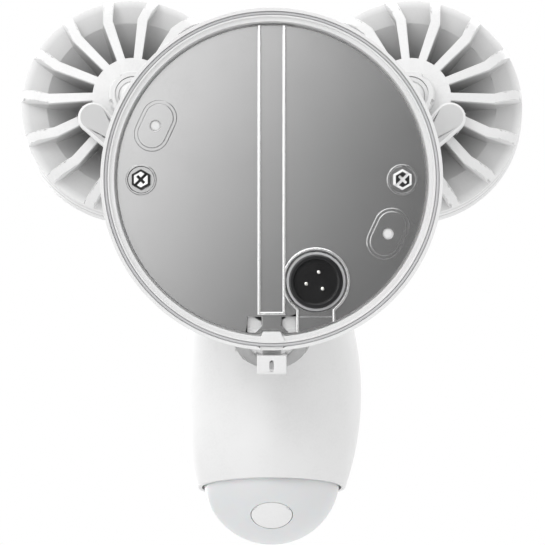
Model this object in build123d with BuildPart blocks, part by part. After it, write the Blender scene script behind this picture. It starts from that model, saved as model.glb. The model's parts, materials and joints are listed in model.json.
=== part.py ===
from build123d import *
import os
from math import asin, cos, radians, sin, sqrt

# Floodlight security camera for an outdoor wall: a round canopy with two
# tilting lamps and one tilting camera.  Millimetres, +Z up.  The origin is the
# centre of the canopy's wall face, the wall is the plane Y = 0 and the
# object's front faces -Y, so "depth" below means distance from the wall.

os.makedirs("parts", exist_ok=True)

# ---------------------------------------------------------------- clearances
seat_gap = 0.3            # loose fit of a piece laid in a recess
touch_gap = 0.15          # around a piece that another one holds
turn_gap = 0.3            # between bodies that turn past each other
pin_gap = 0.06            # radial clearance of a pin in its hole

# ------------------------------------------------------------ canopy, driving
canopy_radius = 75.0
canopy_depth = 42.0
canopy_wall = 2.6
front_crown = 1.5         # rise of the front at its centre
shoulder_radius = 26.0    # rounding from the side wall to the front
rim_wall = 1.5
gasket_width = 1.6
lip_width = 0.8
step_width = 2.0
groove_depth = 2.4
lip_setback = 0.8
step_depth = 2.2
plate_depth = 12.0        # recess of the rear plate below the rim
plate_thickness = 1.5
ledge_width = 2.9         # ledge that the plate lies on
plate_gap = 0.8           # shadow gap round the plate

# ------------------------------------------------------- rear plate, driving
rib_half_spacing = 5.5
rib_width = 1.2
rib_height = 2.0
rib_foot = -(canopy_radius - 16.0)      # height of the cross rib that closes the channel
screw_half_spacing = 57.6
screw_seat_radius = 6.7
screw_seat_width = 0.8
screw_seat_height = 0.9
screw_radius = 2.5
screw_flats = 8.0
screw_head = 3.5
pad_radius_from_axis = 56.5
pad_angle = 24.9
pad_end_radius = 7.7
pad_length = 23.2
pad_height = 0.8
pad_step = 1.5
pad_hole_radius = 2.35
window_width = 6.3
window_height = 6.8
window_offset = 7.55
window_top = -(canopy_radius - 14.6)
window_chamfer = 2.9

# ------------------------------------------------------------- inlet, driving
inlet_x = -19.5
inlet_z = -44.9
inlet_radius = 11.9
inlet_mouth_depth = 7.0
inlet_well_depth = 9.0
inlet_tail_radius = 10.5
inlet_length = 17.0
inlet_nut_radius = 13.2
inlet_nut_height = 2.6
pin_circle = 4.4
pin_radius = 1.0
pin_setback = 4.6         # from the mouth to the pins' tips
keyhole_wall = 1.0
keyhole_gap = 0.8
neck_half_width = 8.5
seal_width = 1.1

# -------------------------------------------------------------- latch, driving
latch_half_width = 4.2
latch_thickness = 3.0
latch_depth = 20.0
tab_half_width = 6.45
tab_gap = 2.2             # between the tab and the rim, the latch's travel
tab_height = 8.3
tab_thickness = 3.5
tab_setback = 1.0
tongue_top = -(canopy_radius - 8.1)
tongue_top_half = 3.8
tongue_foot_half = 5.9
tongue_slope_drop = 4.4

# -------------------------------------------------------- arms and ball joints
ball_radius = 7.0
cup_wall = 1.5
arm_radius = 3.4
arm_bend = 12.0
arm_neck = 9.0            # straight run from the ball to the bend
arm_slant = 45.0
arm_foot = 9.0            # length held in the canopy's shoulder
pod_radius = 9.0
pod_rise = 1.6
ring_height = 3.2
collar_radius = 11.2
collar_rear = 3.6         # how far the collar reaches behind the ball's centre
collar_notches = 5
notch_width = 2.4
notch_depth = 1.1

lamp_ball_angle = 32.18    # of the lamp's ball round the canopy, above level
lamp_ball_inset = 0.1     # of the lamp's ball from the canopy's outline
lamp_ball_depth = 66.0
camera_ball_inset = 6.7
camera_ball_depth = 60.0
lamp_ball_rho = canopy_radius - lamp_ball_inset
lamp_ball = Vector(
    lamp_ball_rho * cos(radians(lamp_ball_angle)),
    -lamp_ball_depth,
    lamp_ball_rho * sin(radians(lamp_ball_angle)),
)
camera_ball = Vector(0, -camera_ball_depth, -(canopy_radius - camera_ball_inset))

# --------------------------------------------------------------- lamp, driving
lamp_radius = 51.5
lamp_out = 3.5            # turned outwards at rest, degrees
lamp_down = 11.5          # tilted down at rest, degrees
hub_radius = 18.7
hub_rear = 2.0
fin_count = 15
fin_phase = 0.8
fin_root_half = 1.85
fin_kink_half = 2.35
fin_tip_half = 2.7
fin_kink = 38.6
fin_swirl = 19.0
crest_kink = 7.0
crest_rim = 20.8
floor_hub = 23.0
floor_kink = 17.5
floor_rim = 21.5
sink_front = 30.0
pocket_radius = 47.0
pocket_floor = 26.0
board_thickness = 1.6
lamp_board_radius = 22.0
gasket_thickness = 1.0
bezel_front = 40.5
bezel_wall = 4.3
bezel_lip = 7.0
cover_thickness = 2.4
cover_crown = 2.2
lever_reach = 24.0
lever_end_x = 18.3
lever_end_y = -11.1
lever_end_radius = 7.0
lever_root_radius = 5.6
lever_rear = -5.0
lever_front = -0.5
lever_pin_radius = 1.8

# ------------------------------------------------------------- camera, driving
camera_down = 12.0        # tilted down at rest, degrees
barrel_offset = 34.0      # barrel axis in front of the ball
barrel_radius = 41.5
barrel_wide_z = -18.5
barrel_foot_radius = 33.9
barrel_foot_z = -66.5
barrel_top_radius = 35.0
barrel_top_z = 20.0
cap_top_z = 34.0
barrel_wall = 1.8
recess_radius = 18.1
recess_floor = -2.0       # behind (+) or in front of (-) the ball's centre
face_front = 37.0         # face plate's front, from the barrel axis
face_back = 28.5
face_half_width = 23.0
face_top_z = 22.0
face_foot_z = -55.0
face_wall = 2.0
lens_z = -5.0
lens_ring_radius = 12.4
lens_glass_radius = 10.0
dome_radius = 31.5
dome_wall = 1.5
dome_rise = 5.4           # dome's centre above the barrel's foot
button_angle = 44.0
button_half_width = 9.3
button_half_height = 7.2
button_thickness = 3.0

# ------------------------------------------------------------ derived, canopy
gasket_outer = canopy_radius - rim_wall
gasket_inner = gasket_outer - gasket_width
lip_inner = gasket_inner - lip_width
bore_radius = lip_inner - step_width
plate_radius = bore_radius - plate_gap
cavity_radius = bore_radius - ledge_width
plate_back = plate_depth + plate_thickness
shoulder_rho = canopy_radius - shoulder_radius
shoulder_depth = canopy_depth - shoulder_radius
cavity_shoulder = shoulder_radius - canopy_wall - (canopy_radius - canopy_wall - cavity_radius)
cavity_depth = canopy_depth - canopy_wall
cup_radius = ball_radius + turn_gap
cup_outer = cup_radius + cup_wall
socket_radius = cup_outer + turn_gap


def at_depth(depth, x=0.0, z=0.0):
    """Plane parallel to the wall; its normal points to the front."""
    return Plane(origin=(x, -depth, z), x_dir=(1, 0, 0), z_dir=(0, -1, 0))


def crown_middle(radius, rise):
    """Middle of a crown's arc centred on the axis, as (radius, drop below the top)."""
    sphere = (radius**2 + rise**2) / (2 * rise)
    half = asin(radius / sphere) / 2
    return sphere * sin(half), sphere * (1 - cos(half))


def shoulder_surface(rho):
    """Depth of the canopy's outside at this distance from its axis."""
    return shoulder_depth + sqrt(shoulder_radius**2 - (rho - shoulder_rho) ** 2)


# =============================================================== the canopy
shelf_half_width = 12.0
shelf_top = -(canopy_radius - 23.0)
shelf_step = -(canopy_radius - 15.5)
shelf_foot = -(canopy_radius - 6.0)
shelf_depth = plate_back + 0.5
grommet_radius = 10.5
grommet_x = 0.6
grommet_z = -(canopy_radius - 22.7)
grommet_top_depth = plate_back + 0.5
grommet_thickness = 4.0
channel_half_width = latch_half_width + seat_gap
channel_depth = latch_depth + latch_thickness + seat_gap
spring_post = -(canopy_radius - 21.0)
tower_radius = 5.0
tower_hole = screw_radius + 0.2
nut_land_radius = 7.6
pad_post_radius = 4.6
pad_post_depth = 10.0


def arm_points(ball):
    """Corner points of an arm's path in its radial plane, as (rho, depth)."""
    rho = sqrt(ball.X**2 + ball.Z**2)
    depth = -ball.Y
    bend_start = (rho, depth - arm_neck)
    slant = radians(arm_slant)
    bend_end = (rho - arm_bend * (1 - cos(slant)), depth - arm_neck - arm_bend * sin(slant))
    run = 0.0
    while bend_end[1] - run * cos(slant) > shoulder_surface(bend_end[0] - run * sin(slant)):
        run += 0.05
    surface = (bend_end[0] - run * sin(slant), bend_end[1] - run * cos(slant))
    foot = (surface[0] - arm_foot * sin(slant), surface[1] - arm_foot * cos(slant))
    return bend_start, bend_end, surface, foot


def radial_plane(ball):
    """Plane through the canopy's axis and the ball: local x outwards, y forwards."""
    rho = sqrt(ball.X**2 + ball.Z**2)
    outwards = Vector(ball.X / rho, 0, ball.Z / rho)
    forwards = Vector(0, -1, 0)
    return Plane(origin=(0, 0, 0), x_dir=outwards, z_dir=outwards.cross(forwards))


def foot_plane(ball, along):
    """Plane across an arm's foot, this far outside the canopy's shoulder."""
    radial = radial_plane(ball)
    _, _, surface, foot = arm_points(ball)
    slant = radians(arm_slant)
    x = surface[0] + along * sin(slant)
    y = surface[1] + along * cos(slant)
    direction = radial.x_dir * sin(slant) + radial.y_dir * cos(slant)
    return Plane(origin=radial.from_local_coords((x, y, 0)), x_dir=radial.z_dir, z_dir=direction)


lamp_ball_left = Vector(-lamp_ball.X, lamp_ball.Y, lamp_ball.Z)
all_balls = (lamp_ball, lamp_ball_left, camera_ball)

with BuildPart() as canopy_shell:
    # outside, solid up to the wall plane
    middle, drop = crown_middle(shoulder_rho, front_crown)
    with BuildSketch(Plane.XY):
        with BuildLine():
            Line((0, 0), (canopy_radius, 0))
            Line((canopy_radius, 0), (canopy_radius, -shoulder_depth))
            RadiusArc(
                (canopy_radius, -shoulder_depth), (shoulder_rho, -canopy_depth), shoulder_radius
            )
            ThreePointArc(
                (shoulder_rho, -canopy_depth),
                (middle, -canopy_depth - front_crown + drop),
                (0, -canopy_depth - front_crown),
            )
            Line((0, -canopy_depth - front_crown), (0, 0))
        make_face()
    revolve(axis=Axis.Y)
    # shoulders that hold the feet of the three arms
    for ball in all_balls:
        with BuildSketch(foot_plane(ball, pod_rise)):
            Circle(pod_radius)
        extrude(amount=-(arm_foot + pod_rise + 2))
    # the cavity for the electronics, the plate's ledge and the stepped rim
    with BuildSketch(Plane.XY):
        with BuildLine():
            Line((0, 0), (bore_radius, 0))
            Line((bore_radius, 0), (bore_radius, -plate_back))
            Line((bore_radius, -plate_back), (cavity_radius, -plate_back))
            Line((cavity_radius, -plate_back), (cavity_radius, -cavity_depth + cavity_shoulder))
            RadiusArc(
                (cavity_radius, -cavity_depth + cavity_shoulder),
                (cavity_radius - cavity_shoulder, -cavity_depth),
                cavity_shoulder,
            )
            Line((cavity_radius - cavity_shoulder, -cavity_depth), (0, -cavity_depth))
            Line((0, -cavity_depth), (0, 0))
        make_face()
    revolve(axis=Axis.Y, mode=Mode.SUBTRACT)
    with BuildSketch(at_depth(0)):
        Circle(gasket_outer)
        Circle(gasket_inner, mode=Mode.SUBTRACT)
    extrude(amount=groove_depth, mode=Mode.SUBTRACT)
    with BuildSketch(at_depth(0)):
        Circle(gasket_inner)
        Circle(lip_inner, mode=Mode.SUBTRACT)
    extrude(amount=lip_setback, mode=Mode.SUBTRACT)
    with BuildSketch(at_depth(0)):
        Circle(lip_inner)
        Circle(bore_radius - 1, mode=Mode.SUBTRACT)
    extrude(amount=step_depth, mode=Mode.SUBTRACT)
    # material round each arm's foot inside the cavity
    for ball in all_balls:
        with BuildSketch(foot_plane(ball, 0)):
            Circle(arm_radius + 3)
        extrude(amount=-(arm_foot + 2))
    # towers and outside lands for the two long screws
    with BuildSketch(at_depth(plate_back)):
        with Locations((screw_half_spacing, 0), (-screw_half_spacing, 0)):
            Circle(tower_radius)
    extrude(amount=canopy_depth - plate_back)
    with BuildSketch(at_depth(canopy_depth)):
        with Locations((screw_half_spacing, 0), (-screw_half_spacing, 0)):
            Circle(nut_land_radius)
    extrude(amount=-6)
    with BuildSketch(at_depth(canopy_depth)):
        with Locations((screw_half_spacing, 0), (-screw_half_spacing, 0)):
            Circle(nut_land_radius)
    extrude(amount=front_crown + 1, mode=Mode.SUBTRACT)
    # posts behind the two pads of the plate
    with BuildSketch(at_depth(plate_back)):
        with PolarLocations(pad_radius_from_axis, 2, start_angle=pad_angle):
            Circle(pad_post_radius)
    extrude(amount=cavity_depth - plate_back + 1)
    with BuildSketch(at_depth(plate_back)):
        with PolarLocations(pad_radius_from_axis, 2, start_angle=pad_angle):
            Circle(pad_hole_radius)
    extrude(amount=pad_post_depth, mode=Mode.SUBTRACT)
    # shelf behind the windows, with the channel that guides the latch
    with BuildSketch(at_depth(shelf_depth)):
        with Locations((0, (shelf_step + shelf_foot) / 2)):
            Rectangle(2 * shelf_half_width, shelf_step - shelf_foot)
        with Locations((0, (shelf_top + shelf_foot) / 2)):
            Rectangle(2 * channel_half_width + 4, shelf_top - shelf_foot)
    extrude(amount=cavity_depth - shelf_depth - 8)
    with BuildSketch(at_depth(shelf_depth, grommet_x, grommet_z)):
        Circle(grommet_radius + seat_gap)
    extrude(amount=grommet_thickness + seat_gap, mode=Mode.SUBTRACT)
    # sockets for the arms' feet, bored from outside
    for ball in all_balls:
        with BuildSketch(foot_plane(ball, pod_rise + 1)):
            Circle(arm_radius + touch_gap / 3)
        extrude(amount=-(arm_foot + pod_rise + 1), mode=Mode.SUBTRACT)
    with BuildSketch(at_depth(0)):
        with Locations((screw_half_spacing, 0), (-screw_half_spacing, 0)):
            Circle(tower_hole)
    extrude(amount=canopy_depth + 2, mode=Mode.SUBTRACT)
    with BuildSketch(at_depth(latch_depth - seat_gap)):
        with Locations((0, (spring_post - canopy_radius - 3) / 2)):
            Rectangle(2 * channel_half_width, spring_post + canopy_radius + 3)
    extrude(amount=latch_thickness + 2 * seat_gap, mode=Mode.SUBTRACT)
    with BuildSketch(at_depth(shelf_depth)):
        with Locations((0, (spring_post + shelf_foot) / 2)):
            Rectangle(2 * channel_half_width, spring_post - shelf_foot)
    extrude(amount=latch_depth - shelf_depth, mode=Mode.SUBTRACT)
    # tongue that stands up from the rim at the bottom, and the rim's notch
    with BuildSketch(at_depth(lip_setback)):
        with BuildLine():
            Polyline(
                (-tongue_top_half, tongue_top),
                (tongue_top_half, tongue_top),
                (tongue_foot_half, tongue_top - tongue_slope_drop),
                (-tongue_foot_half, tongue_top - tongue_slope_drop),
                close=True,
            )
        make_face()
    extrude(amount=plate_back - lip_setback + 2)
    with BuildSketch(at_depth(0)):
        with Locations((0, -canopy_radius)):
            Rectangle(2 * (latch_half_width + 0.6), 2 * rim_wall)
    extrude(amount=0.7, mode=Mode.SUBTRACT)
canopy_shell.part.label = "canopy_shell"
export_step(canopy_shell.part, "parts/canopy_shell.step")

# ============================================================ the rear plate
keyhole_inner = inlet_radius + seal_width + keyhole_gap + touch_gap
keyhole_outer = keyhole_inner + keyhole_wall
keyhole_hole = inlet_radius + seal_width + seat_gap


def keyhole(radius, neck, length, mode=Mode.ADD):
    """Round eye with a straight neck below it, joined by 45 degree flanks."""
    reach = radius * sqrt(0.5)
    shoulder = neck - 2 * reach
    with BuildLine() as outline:
        ThreePointArc((-reach, -reach), (0, radius), (reach, -reach))
        Polyline(
            (reach, -reach),
            (neck, shoulder),
            (neck, shoulder - length),
            (-neck, shoulder - length),
            (-neck, shoulder),
            (-reach, -reach),
        )
    make_face(outline.edges(), mode=mode)


with BuildPart() as rear_plate:
    with BuildSketch(at_depth(plate_depth)):
        Circle(plate_radius)
    extrude(amount=plate_thickness)
    # two upright ribs and the cross rib that closes the channel at the bottom
    rib_top = sqrt(plate_radius**2 - (rib_half_spacing + rib_width) ** 2) - 0.5
    with BuildSketch(at_depth(plate_depth)):
        with Locations(
            (rib_half_spacing, (rib_top + rib_foot) / 2), (-rib_half_spacing, (rib_top + rib_foot) / 2)
        ):
            Rectangle(rib_width, rib_top - rib_foot + rib_width)
        with Locations((0, rib_foot)):
            Rectangle(2 * rib_half_spacing, rib_width)
    extrude(amount=-rib_height)
    # wall round the power inlet
    with BuildSketch(at_depth(plate_depth, inlet_x, inlet_z)):
        keyhole(keyhole_outer, neck_half_width, 30)
        keyhole(keyhole_inner, neck_half_width - keyhole_wall, 31, mode=Mode.SUBTRACT)
        with Locations((-inlet_x, -inlet_z)):
            Circle(plate_radius, mode=Mode.INTERSECT)
        with Locations((-inlet_x - rib_half_spacing + 10, 0)):
            Rectangle(20, 4 * canopy_radius, mode=Mode.SUBTRACT)
    extrude(amount=-rib_height)
    # seats of the two hexagon screws
    with BuildSketch(at_depth(plate_depth)):
        with Locations((screw_half_spacing, 0), (-screw_half_spacing, 0)):
            Circle(screw_seat_radius)
            Circle(screw_seat_radius - screw_seat_width, mode=Mode.SUBTRACT)
    extrude(amount=-screw_seat_height)
    # two raised pads for the bracket's posts
    with BuildSketch(at_depth(plate_depth)):
        with PolarLocations(pad_radius_from_axis, 2, start_angle=pad_angle):
            SlotOverall(pad_length, 2 * pad_end_radius, rotation=90)
    extrude(amount=-pad_height / 2)
    with BuildSketch(at_depth(plate_depth)):
        with PolarLocations(pad_radius_from_axis, 2, start_angle=pad_angle):
            SlotOverall(pad_length - 2 * pad_step, 2 * (pad_end_radius - pad_step), rotation=90)
    extrude(amount=-pad_height)
    with BuildSketch(at_depth(plate_depth - pad_height)):
        with PolarLocations(pad_radius_from_axis, 2, start_angle=pad_angle):
            Circle(pad_hole_radius)
        with Locations((screw_half_spacing, 0), (-screw_half_spacing, 0)):
            Circle(tower_hole)
        with Locations((inlet_x, inlet_z)):
            Circle(keyhole_hole)
    extrude(amount=plate_thickness + pad_height, mode=Mode.SUBTRACT)
    # windows each side of the latch, and the gap that clears the tongue
    with BuildSketch(at_depth(plate_depth)):
        for side in (1, -1):
            inner = side * (window_offset - window_width / 2)
            outer = side * (window_offset + window_width / 2)
            with BuildLine():
                Polyline(
                    (inner, window_top),
                    (outer, window_top),
                    (outer, window_top - window_height),
                    (inner + side * window_chamfer, window_top - window_height),
                    (inner, window_top - window_height + window_chamfer),
                    close=True,
                )
            make_face()
        with BuildLine():
            Polyline(
                (-tongue_top_half - 0.3, tongue_top + 0.5),
                (tongue_top_half + 0.3, tongue_top + 0.5),
                (tongue_foot_half + 1.1, tongue_top - tongue_slope_drop),
                (-tongue_foot_half - 1.1, tongue_top - tongue_slope_drop),
                close=True,
            )
        make_face()
    extrude(amount=plate_thickness, mode=Mode.SUBTRACT)
    # shallow step across the neck below the inlet
    with BuildSketch(at_depth(plate_depth)):
        with Locations((inlet_x, window_top - 10)):
            Rectangle(2 * (neck_half_width - keyhole_wall), 20)
        Circle(plate_radius, mode=Mode.INTERSECT)
    extrude(amount=-0.4)
rear_plate.part.label = "rear_plate"
export_step(rear_plate.part, "parts/rear_plate.step")

# =================================================== gasket that meets the wall
with BuildPart() as rim_gasket:
    with BuildSketch(at_depth(0.9)):
        Circle(gasket_outer - touch_gap / 3)
        Circle(gasket_inner + touch_gap / 3, mode=Mode.SUBTRACT)
    extrude(amount=groove_depth - 0.9)
rim_gasket.part.label = "rim_gasket"
export_step(rim_gasket.part, "parts/rim_gasket.step")

# ============================================================ the power inlet
inlet_back = inlet_mouth_depth + inlet_length
with BuildPart() as power_inlet:
    with BuildSketch(at_depth(inlet_mouth_depth, inlet_x, inlet_z)):
        Circle(inlet_radius)
    extrude(amount=plate_back - inlet_mouth_depth)
    with BuildSketch(at_depth(plate_back, inlet_x, inlet_z)):
        Circle(inlet_tail_radius)
    extrude(amount=inlet_mouth_depth + inlet_length - plate_back)
    with BuildSketch(at_depth(grommet_top_depth + grommet_thickness + seat_gap, inlet_x, inlet_z)):
        RegularPolygon(inlet_nut_radius, 6, major_radius=True)
    extrude(amount=inlet_nut_height)
    with BuildSketch(at_depth(inlet_mouth_depth, inlet_x, inlet_z)):
        Circle(inlet_tail_radius - 0.5)
    extrude(amount=inlet_well_depth, mode=Mode.SUBTRACT)
    with BuildSketch(at_depth(inlet_mouth_depth, inlet_x, inlet_z)):
        with PolarLocations(pin_circle, 3, start_angle=107):
            Circle(pin_radius + 0.02)
    extrude(amount=inlet_length, mode=Mode.SUBTRACT)
    mouth = power_inlet.faces().sort_by(Axis.Y)[-1]
    chamfer(mouth.outer_wire().edges(), 0.4)
power_inlet.part.label = "power_inlet"
export_step(power_inlet.part, "parts/power_inlet.step")

with BuildPart() as inlet_pins:
    with BuildSketch(at_depth(inlet_mouth_depth + pin_setback, inlet_x, inlet_z)):
        with PolarLocations(pin_circle, 3, start_angle=107):
            Circle(pin_radius)
    extrude(amount=inlet_length - pin_setback + 2.5)
    tips = inlet_pins.edges().filter_by(GeomType.CIRCLE).group_by(Axis.Y)[-1]
    fillet(tips, pin_radius * 0.6)
inlet_pins.part.label = "inlet_pins"
export_step(inlet_pins.part, "parts/inlet_pins.step")

with BuildPart() as inlet_seal:
    with BuildSketch(at_depth(plate_depth - 3, inlet_x, inlet_z)):
        Circle(inlet_radius + seal_width)
        Circle(inlet_radius + touch_gap / 3, mode=Mode.SUBTRACT)
    extrude(amount=plate_back - plate_depth + 3)
inlet_seal.part.label = "inlet_seal"
export_step(inlet_seal.part, "parts/inlet_seal.step")

# ================================================ screws, washers and cap nuts
nut_height = 3.4
washer_height = 1.0
nut_seat = canopy_depth + washer_height
with BuildPart() as hex_screws:
    with BuildSketch(at_depth(plate_depth)):
        with Locations((screw_half_spacing, 0), (-screw_half_spacing, 0)):
            RegularPolygon(screw_flats / 2, 6, major_radius=False, rotation=30)
    extrude(amount=-screw_head)
    with BuildSketch(at_depth(plate_depth)):
        with Locations((screw_half_spacing, 0), (-screw_half_spacing, 0)):
            Circle(screw_radius)
    extrude(amount=nut_seat + nut_height - plate_depth)
    # driver slot with a short cross
    with BuildSketch(at_depth(plate_depth - screw_head)):
        with Locations((screw_half_spacing, 0), (-screw_half_spacing, 0)):
            Rectangle(2 * screw_flats, 1.2, rotation=-45)
            Rectangle(4.4, 1.2, rotation=45)
    extrude(amount=1.4, mode=Mode.SUBTRACT)
hex_screws.part.label = "hex_screws"
export_step(hex_screws.part, "parts/hex_screws.step")

with BuildPart() as nut_washers:
    with BuildSketch(at_depth(canopy_depth)):
        with Locations((screw_half_spacing, 0), (-screw_half_spacing, 0)):
            Circle(6.4)
            Circle(screw_radius + pin_gap, mode=Mode.SUBTRACT)
    extrude(amount=washer_height)
nut_washers.part.label = "nut_washers"
export_step(nut_washers.part, "parts/nut_washers.step")

with BuildPart() as cap_nuts:
    with BuildSketch(at_depth(nut_seat)):
        with Locations((screw_half_spacing, 0), (-screw_half_spacing, 0)):
            RegularPolygon(screw_flats / 2, 6, major_radius=False, rotation=30)
    extrude(amount=nut_height)
    cap_radius = screw_flats / 2 - 0.3
    for side in (1, -1):
        with BuildSketch(Plane.XY):
            with BuildLine():
                Line((side * screw_half_spacing, -nut_seat), (side * screw_half_spacing + cap_radius, -nut_seat))
                Line(
                    (side * screw_half_spacing + cap_radius, -nut_seat),
                    (side * screw_half_spacing + cap_radius, -nut_seat - nut_height - 0.4),
                )
                ThreePointArc(
                    (side * screw_half_spacing + cap_radius, -nut_seat - nut_height - 0.4),
                    (
                        side * screw_half_spacing + cap_radius * sqrt(0.5),
                        -nut_seat - nut_height - 0.4 - cap_radius * sqrt(0.5),
                    ),
                    (side * screw_half_spacing, -nut_seat - nut_height - 0.4 - cap_radius),
                )
                Line(
                    (side * screw_half_spacing, -nut_seat - nut_height - 0.4 - cap_radius),
                    (side * screw_half_spacing, -nut_seat),
                )
            make_face()
        revolve(axis=Axis((side * screw_half_spacing, 0, 0), (0, 1, 0)))
    with BuildSketch(at_depth(nut_seat)):
        with Locations((screw_half_spacing, 0), (-screw_half_spacing, 0)):
            Circle(screw_radius + pin_gap)
    extrude(amount=nut_height + 0.4, mode=Mode.SUBTRACT)
cap_nuts.part.label = "cap_nuts"
export_step(cap_nuts.part, "parts/cap_nuts.step")

# ======================================================= electronics in canopy
board_depth = 27.0
board_half_width = 40.0
board_half_height = 26.0
board_z = 4.0
with BuildPart() as driver_board:
    with BuildSketch(at_depth(board_depth)):
        with Locations((0, board_z)):
            RectangleRounded(2 * board_half_width, 2 * board_half_height, 3)
        with GridLocations(70, 42, 2, 2):
            Circle(1.6, mode=Mode.SUBTRACT)
    extrude(amount=board_thickness)
driver_board.part.label = "driver_board"
export_step(driver_board.part, "parts/driver_board.step")

with BuildPart() as driver_parts:
    # transformer core
    with BuildSketch(at_depth(board_depth)):
        with Locations((-18, board_z + 8)):
            RectangleRounded(22, 18, 1)
    extrude(amount=-11)
    # two electrolytic capacitors and a choke
    with BuildSketch(at_depth(board_depth)):
        with Locations((8, board_z + 12), (24, board_z + 12)):
            Circle(5)
        with Locations((10, board_z - 8)):
            Circle(7)
    extrude(amount=-9)
    # power transistors
    with BuildSketch(at_depth(board_depth)):
        with Locations((26, board_z - 6), (32, board_z - 16)):
            Rectangle(6, 4.5)
    extrude(amount=-7)
driver_parts.part.label = "driver_parts"
export_step(driver_parts.part, "parts/driver_parts.step")

block_x = -26.0
block_z = board_z - 17.0
block_width = 18.0
block_height = 8.0
block_tall = 8.0
with BuildPart() as terminal_block:
    with BuildSketch(at_depth(board_depth)):
        with Locations((block_x, block_z)):
            Rectangle(block_width, block_height)
    extrude(amount=-block_tall)
    with BuildSketch(at_depth(board_depth - block_tall)):
        with Locations((block_x, block_z)):
            with GridLocations(5.6, 1, 3, 1):
                Circle(1.7)
    extrude(amount=1.5, mode=Mode.SUBTRACT)
terminal_block.part.label = "terminal_block"
export_step(terminal_block.part, "parts/terminal_block.step")

# Three short leads from the inlet's tails to the terminal block.
lead_radius = 0.9
lead_top = block_z - block_height / 2
with BuildPart() as inlet_leads:
    for index in range(3):
        angle = radians(107 + 120 * index)
        start_x = inlet_x + pin_circle * cos(angle)
        start_z = inlet_z + pin_circle * sin(angle)
        order = sorted(cos(radians(107 + 120 * k)) for k in range(3)).index(cos(angle))
        end_x = block_x + 5.6 * (order - 1)
        start_depth = inlet_back + 2.5
        end_depth = board_depth - block_tall / 2
        with BuildLine():
            lead = FilletPolyline(
                (start_x, -start_depth, start_z),
                (start_x, -start_depth - 4, start_z),
                (end_x, -end_depth, lead_top - 6),
                (end_x, -end_depth, lead_top),
                radius=2.5,
            )
        with BuildSketch(Plane(origin=lead @ 0, z_dir=lead % 0)):
            Circle(lead_radius)
        sweep(path=lead)
inlet_leads.part.label = "inlet_leads"
export_step(inlet_leads.part, "parts/inlet_leads.step")

with BuildPart() as cable_grommet:
    with BuildSketch(at_depth(grommet_top_depth, grommet_x, grommet_z)):
        Circle(grommet_radius)
    extrude(amount=grommet_thickness)
    with BuildSketch(at_depth(grommet_top_depth, grommet_x, grommet_z + 4)):
        Circle(3)
    extrude(amount=2, mode=Mode.SUBTRACT)
    rims = cable_grommet.edges().filter_by(GeomType.CIRCLE).group_by(Axis.Y)[-1]
    fillet(rims.sort_by(SortBy.RADIUS)[-1], 0.8)
cable_grommet.part.label = "cable_grommet"
export_step(cable_grommet.part, "parts/cable_grommet.step")

# ================================================================== the latch
tab_top = -canopy_radius - tab_gap
tab_bottom = tab_top - tab_height
bar_top = -(canopy_radius - 9.0)
leg_foot = tab_top - 2.8
with BuildPart() as release_latch:
    with BuildSketch(at_depth(latch_depth)):
        with Locations((0, (bar_top + leg_foot) / 2)):
            Rectangle(2 * latch_half_width, bar_top - leg_foot)
    extrude(amount=latch_thickness)
    with BuildSketch(at_depth(tab_setback)):
        with Locations((0, (tab_top + leg_foot) / 2)):
            Rectangle(2 * tab_half_width, tab_top - leg_foot)
    extrude(amount=latch_depth + latch_thickness - tab_setback)
    with BuildSketch(at_depth(tab_setback)):
        with Locations((0, (tab_top + tab_bottom) / 2)):
            Rectangle(2 * tab_half_width, tab_top - tab_bottom)
    extrude(amount=tab_thickness)
    with BuildSketch(at_depth(tab_setback)):
        with Locations((0, leg_foot - 1.7)):
            SlotOverall(4.6, 1.9, rotation=90)
    extrude(amount=tab_thickness, mode=Mode.SUBTRACT)
    lower = release_latch.edges().filter_by(Axis.X).group_by(Axis.Z)[0]
    fillet(lower, 1.0)
release_latch.part.label = "release_latch"
export_step(release_latch.part, "parts/release_latch.step")

spring_radius = 1.2
spring_wire = 0.3
spring_length = spring_post - bar_top - 2 * spring_wire - 0.1
with BuildPart() as latch_spring:
    with BuildLine():
        coil = Helix(
            pitch=spring_length / 5,
            height=spring_length,
            radius=spring_radius,
            center=(0, -(latch_depth + latch_thickness / 2), bar_top + spring_wire + 0.05),
        )
    with BuildSketch(Plane(origin=coil @ 0, z_dir=coil % 0)):
        Circle(spring_wire)
    sweep(path=coil, is_frenet=True)
latch_spring.part.label = "latch_spring"
export_step(latch_spring.part, "parts/latch_spring.step")


# ========================================================== arms with balls
def arm_solid(ball):
    """Bent arm from its foot in the canopy to the ball, drilled for the lead."""
    bend_start, bend_end, surface, foot = arm_points(ball)
    radial = radial_plane(ball)
    rho = sqrt(ball.X**2 + ball.Z**2)
    corner = (rho, bend_end[1] + (rho - bend_end[0]) / sin(radians(arm_slant)) * cos(radians(arm_slant)))
    with BuildPart() as arm:
        with BuildLine(radial):
            path = FilletPolyline(
                foot,
                corner,
                (rho, -ball.Y - ball_radius * 0.7),
                radius=arm_bend,
            )
        with BuildSketch(Plane(origin=path @ 0, z_dir=path % 0)):
            Circle(arm_radius)
        sweep(path=path)
        with BuildSketch(Plane(origin=ball, x_dir=(1, 0, 0), z_dir=(0, 0, 1))):
            Circle(ball_radius)
            with Locations((-ball_radius, 0)):
                Rectangle(2 * ball_radius, 4 * ball_radius, mode=Mode.SUBTRACT)
        revolve(axis=Axis(ball, (0, 1, 0)))
    return arm.part


for name, ball in (
    ("lamp_arm_right", lamp_ball),
    ("lamp_arm_left", lamp_ball_left),
    ("camera_arm", camera_ball),
):
    with BuildPart() as arm_piece:
        add(arm_solid(ball))
    arm_piece.part.label = name
    export_step(arm_piece.part, f"parts/{name}.step")

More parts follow.
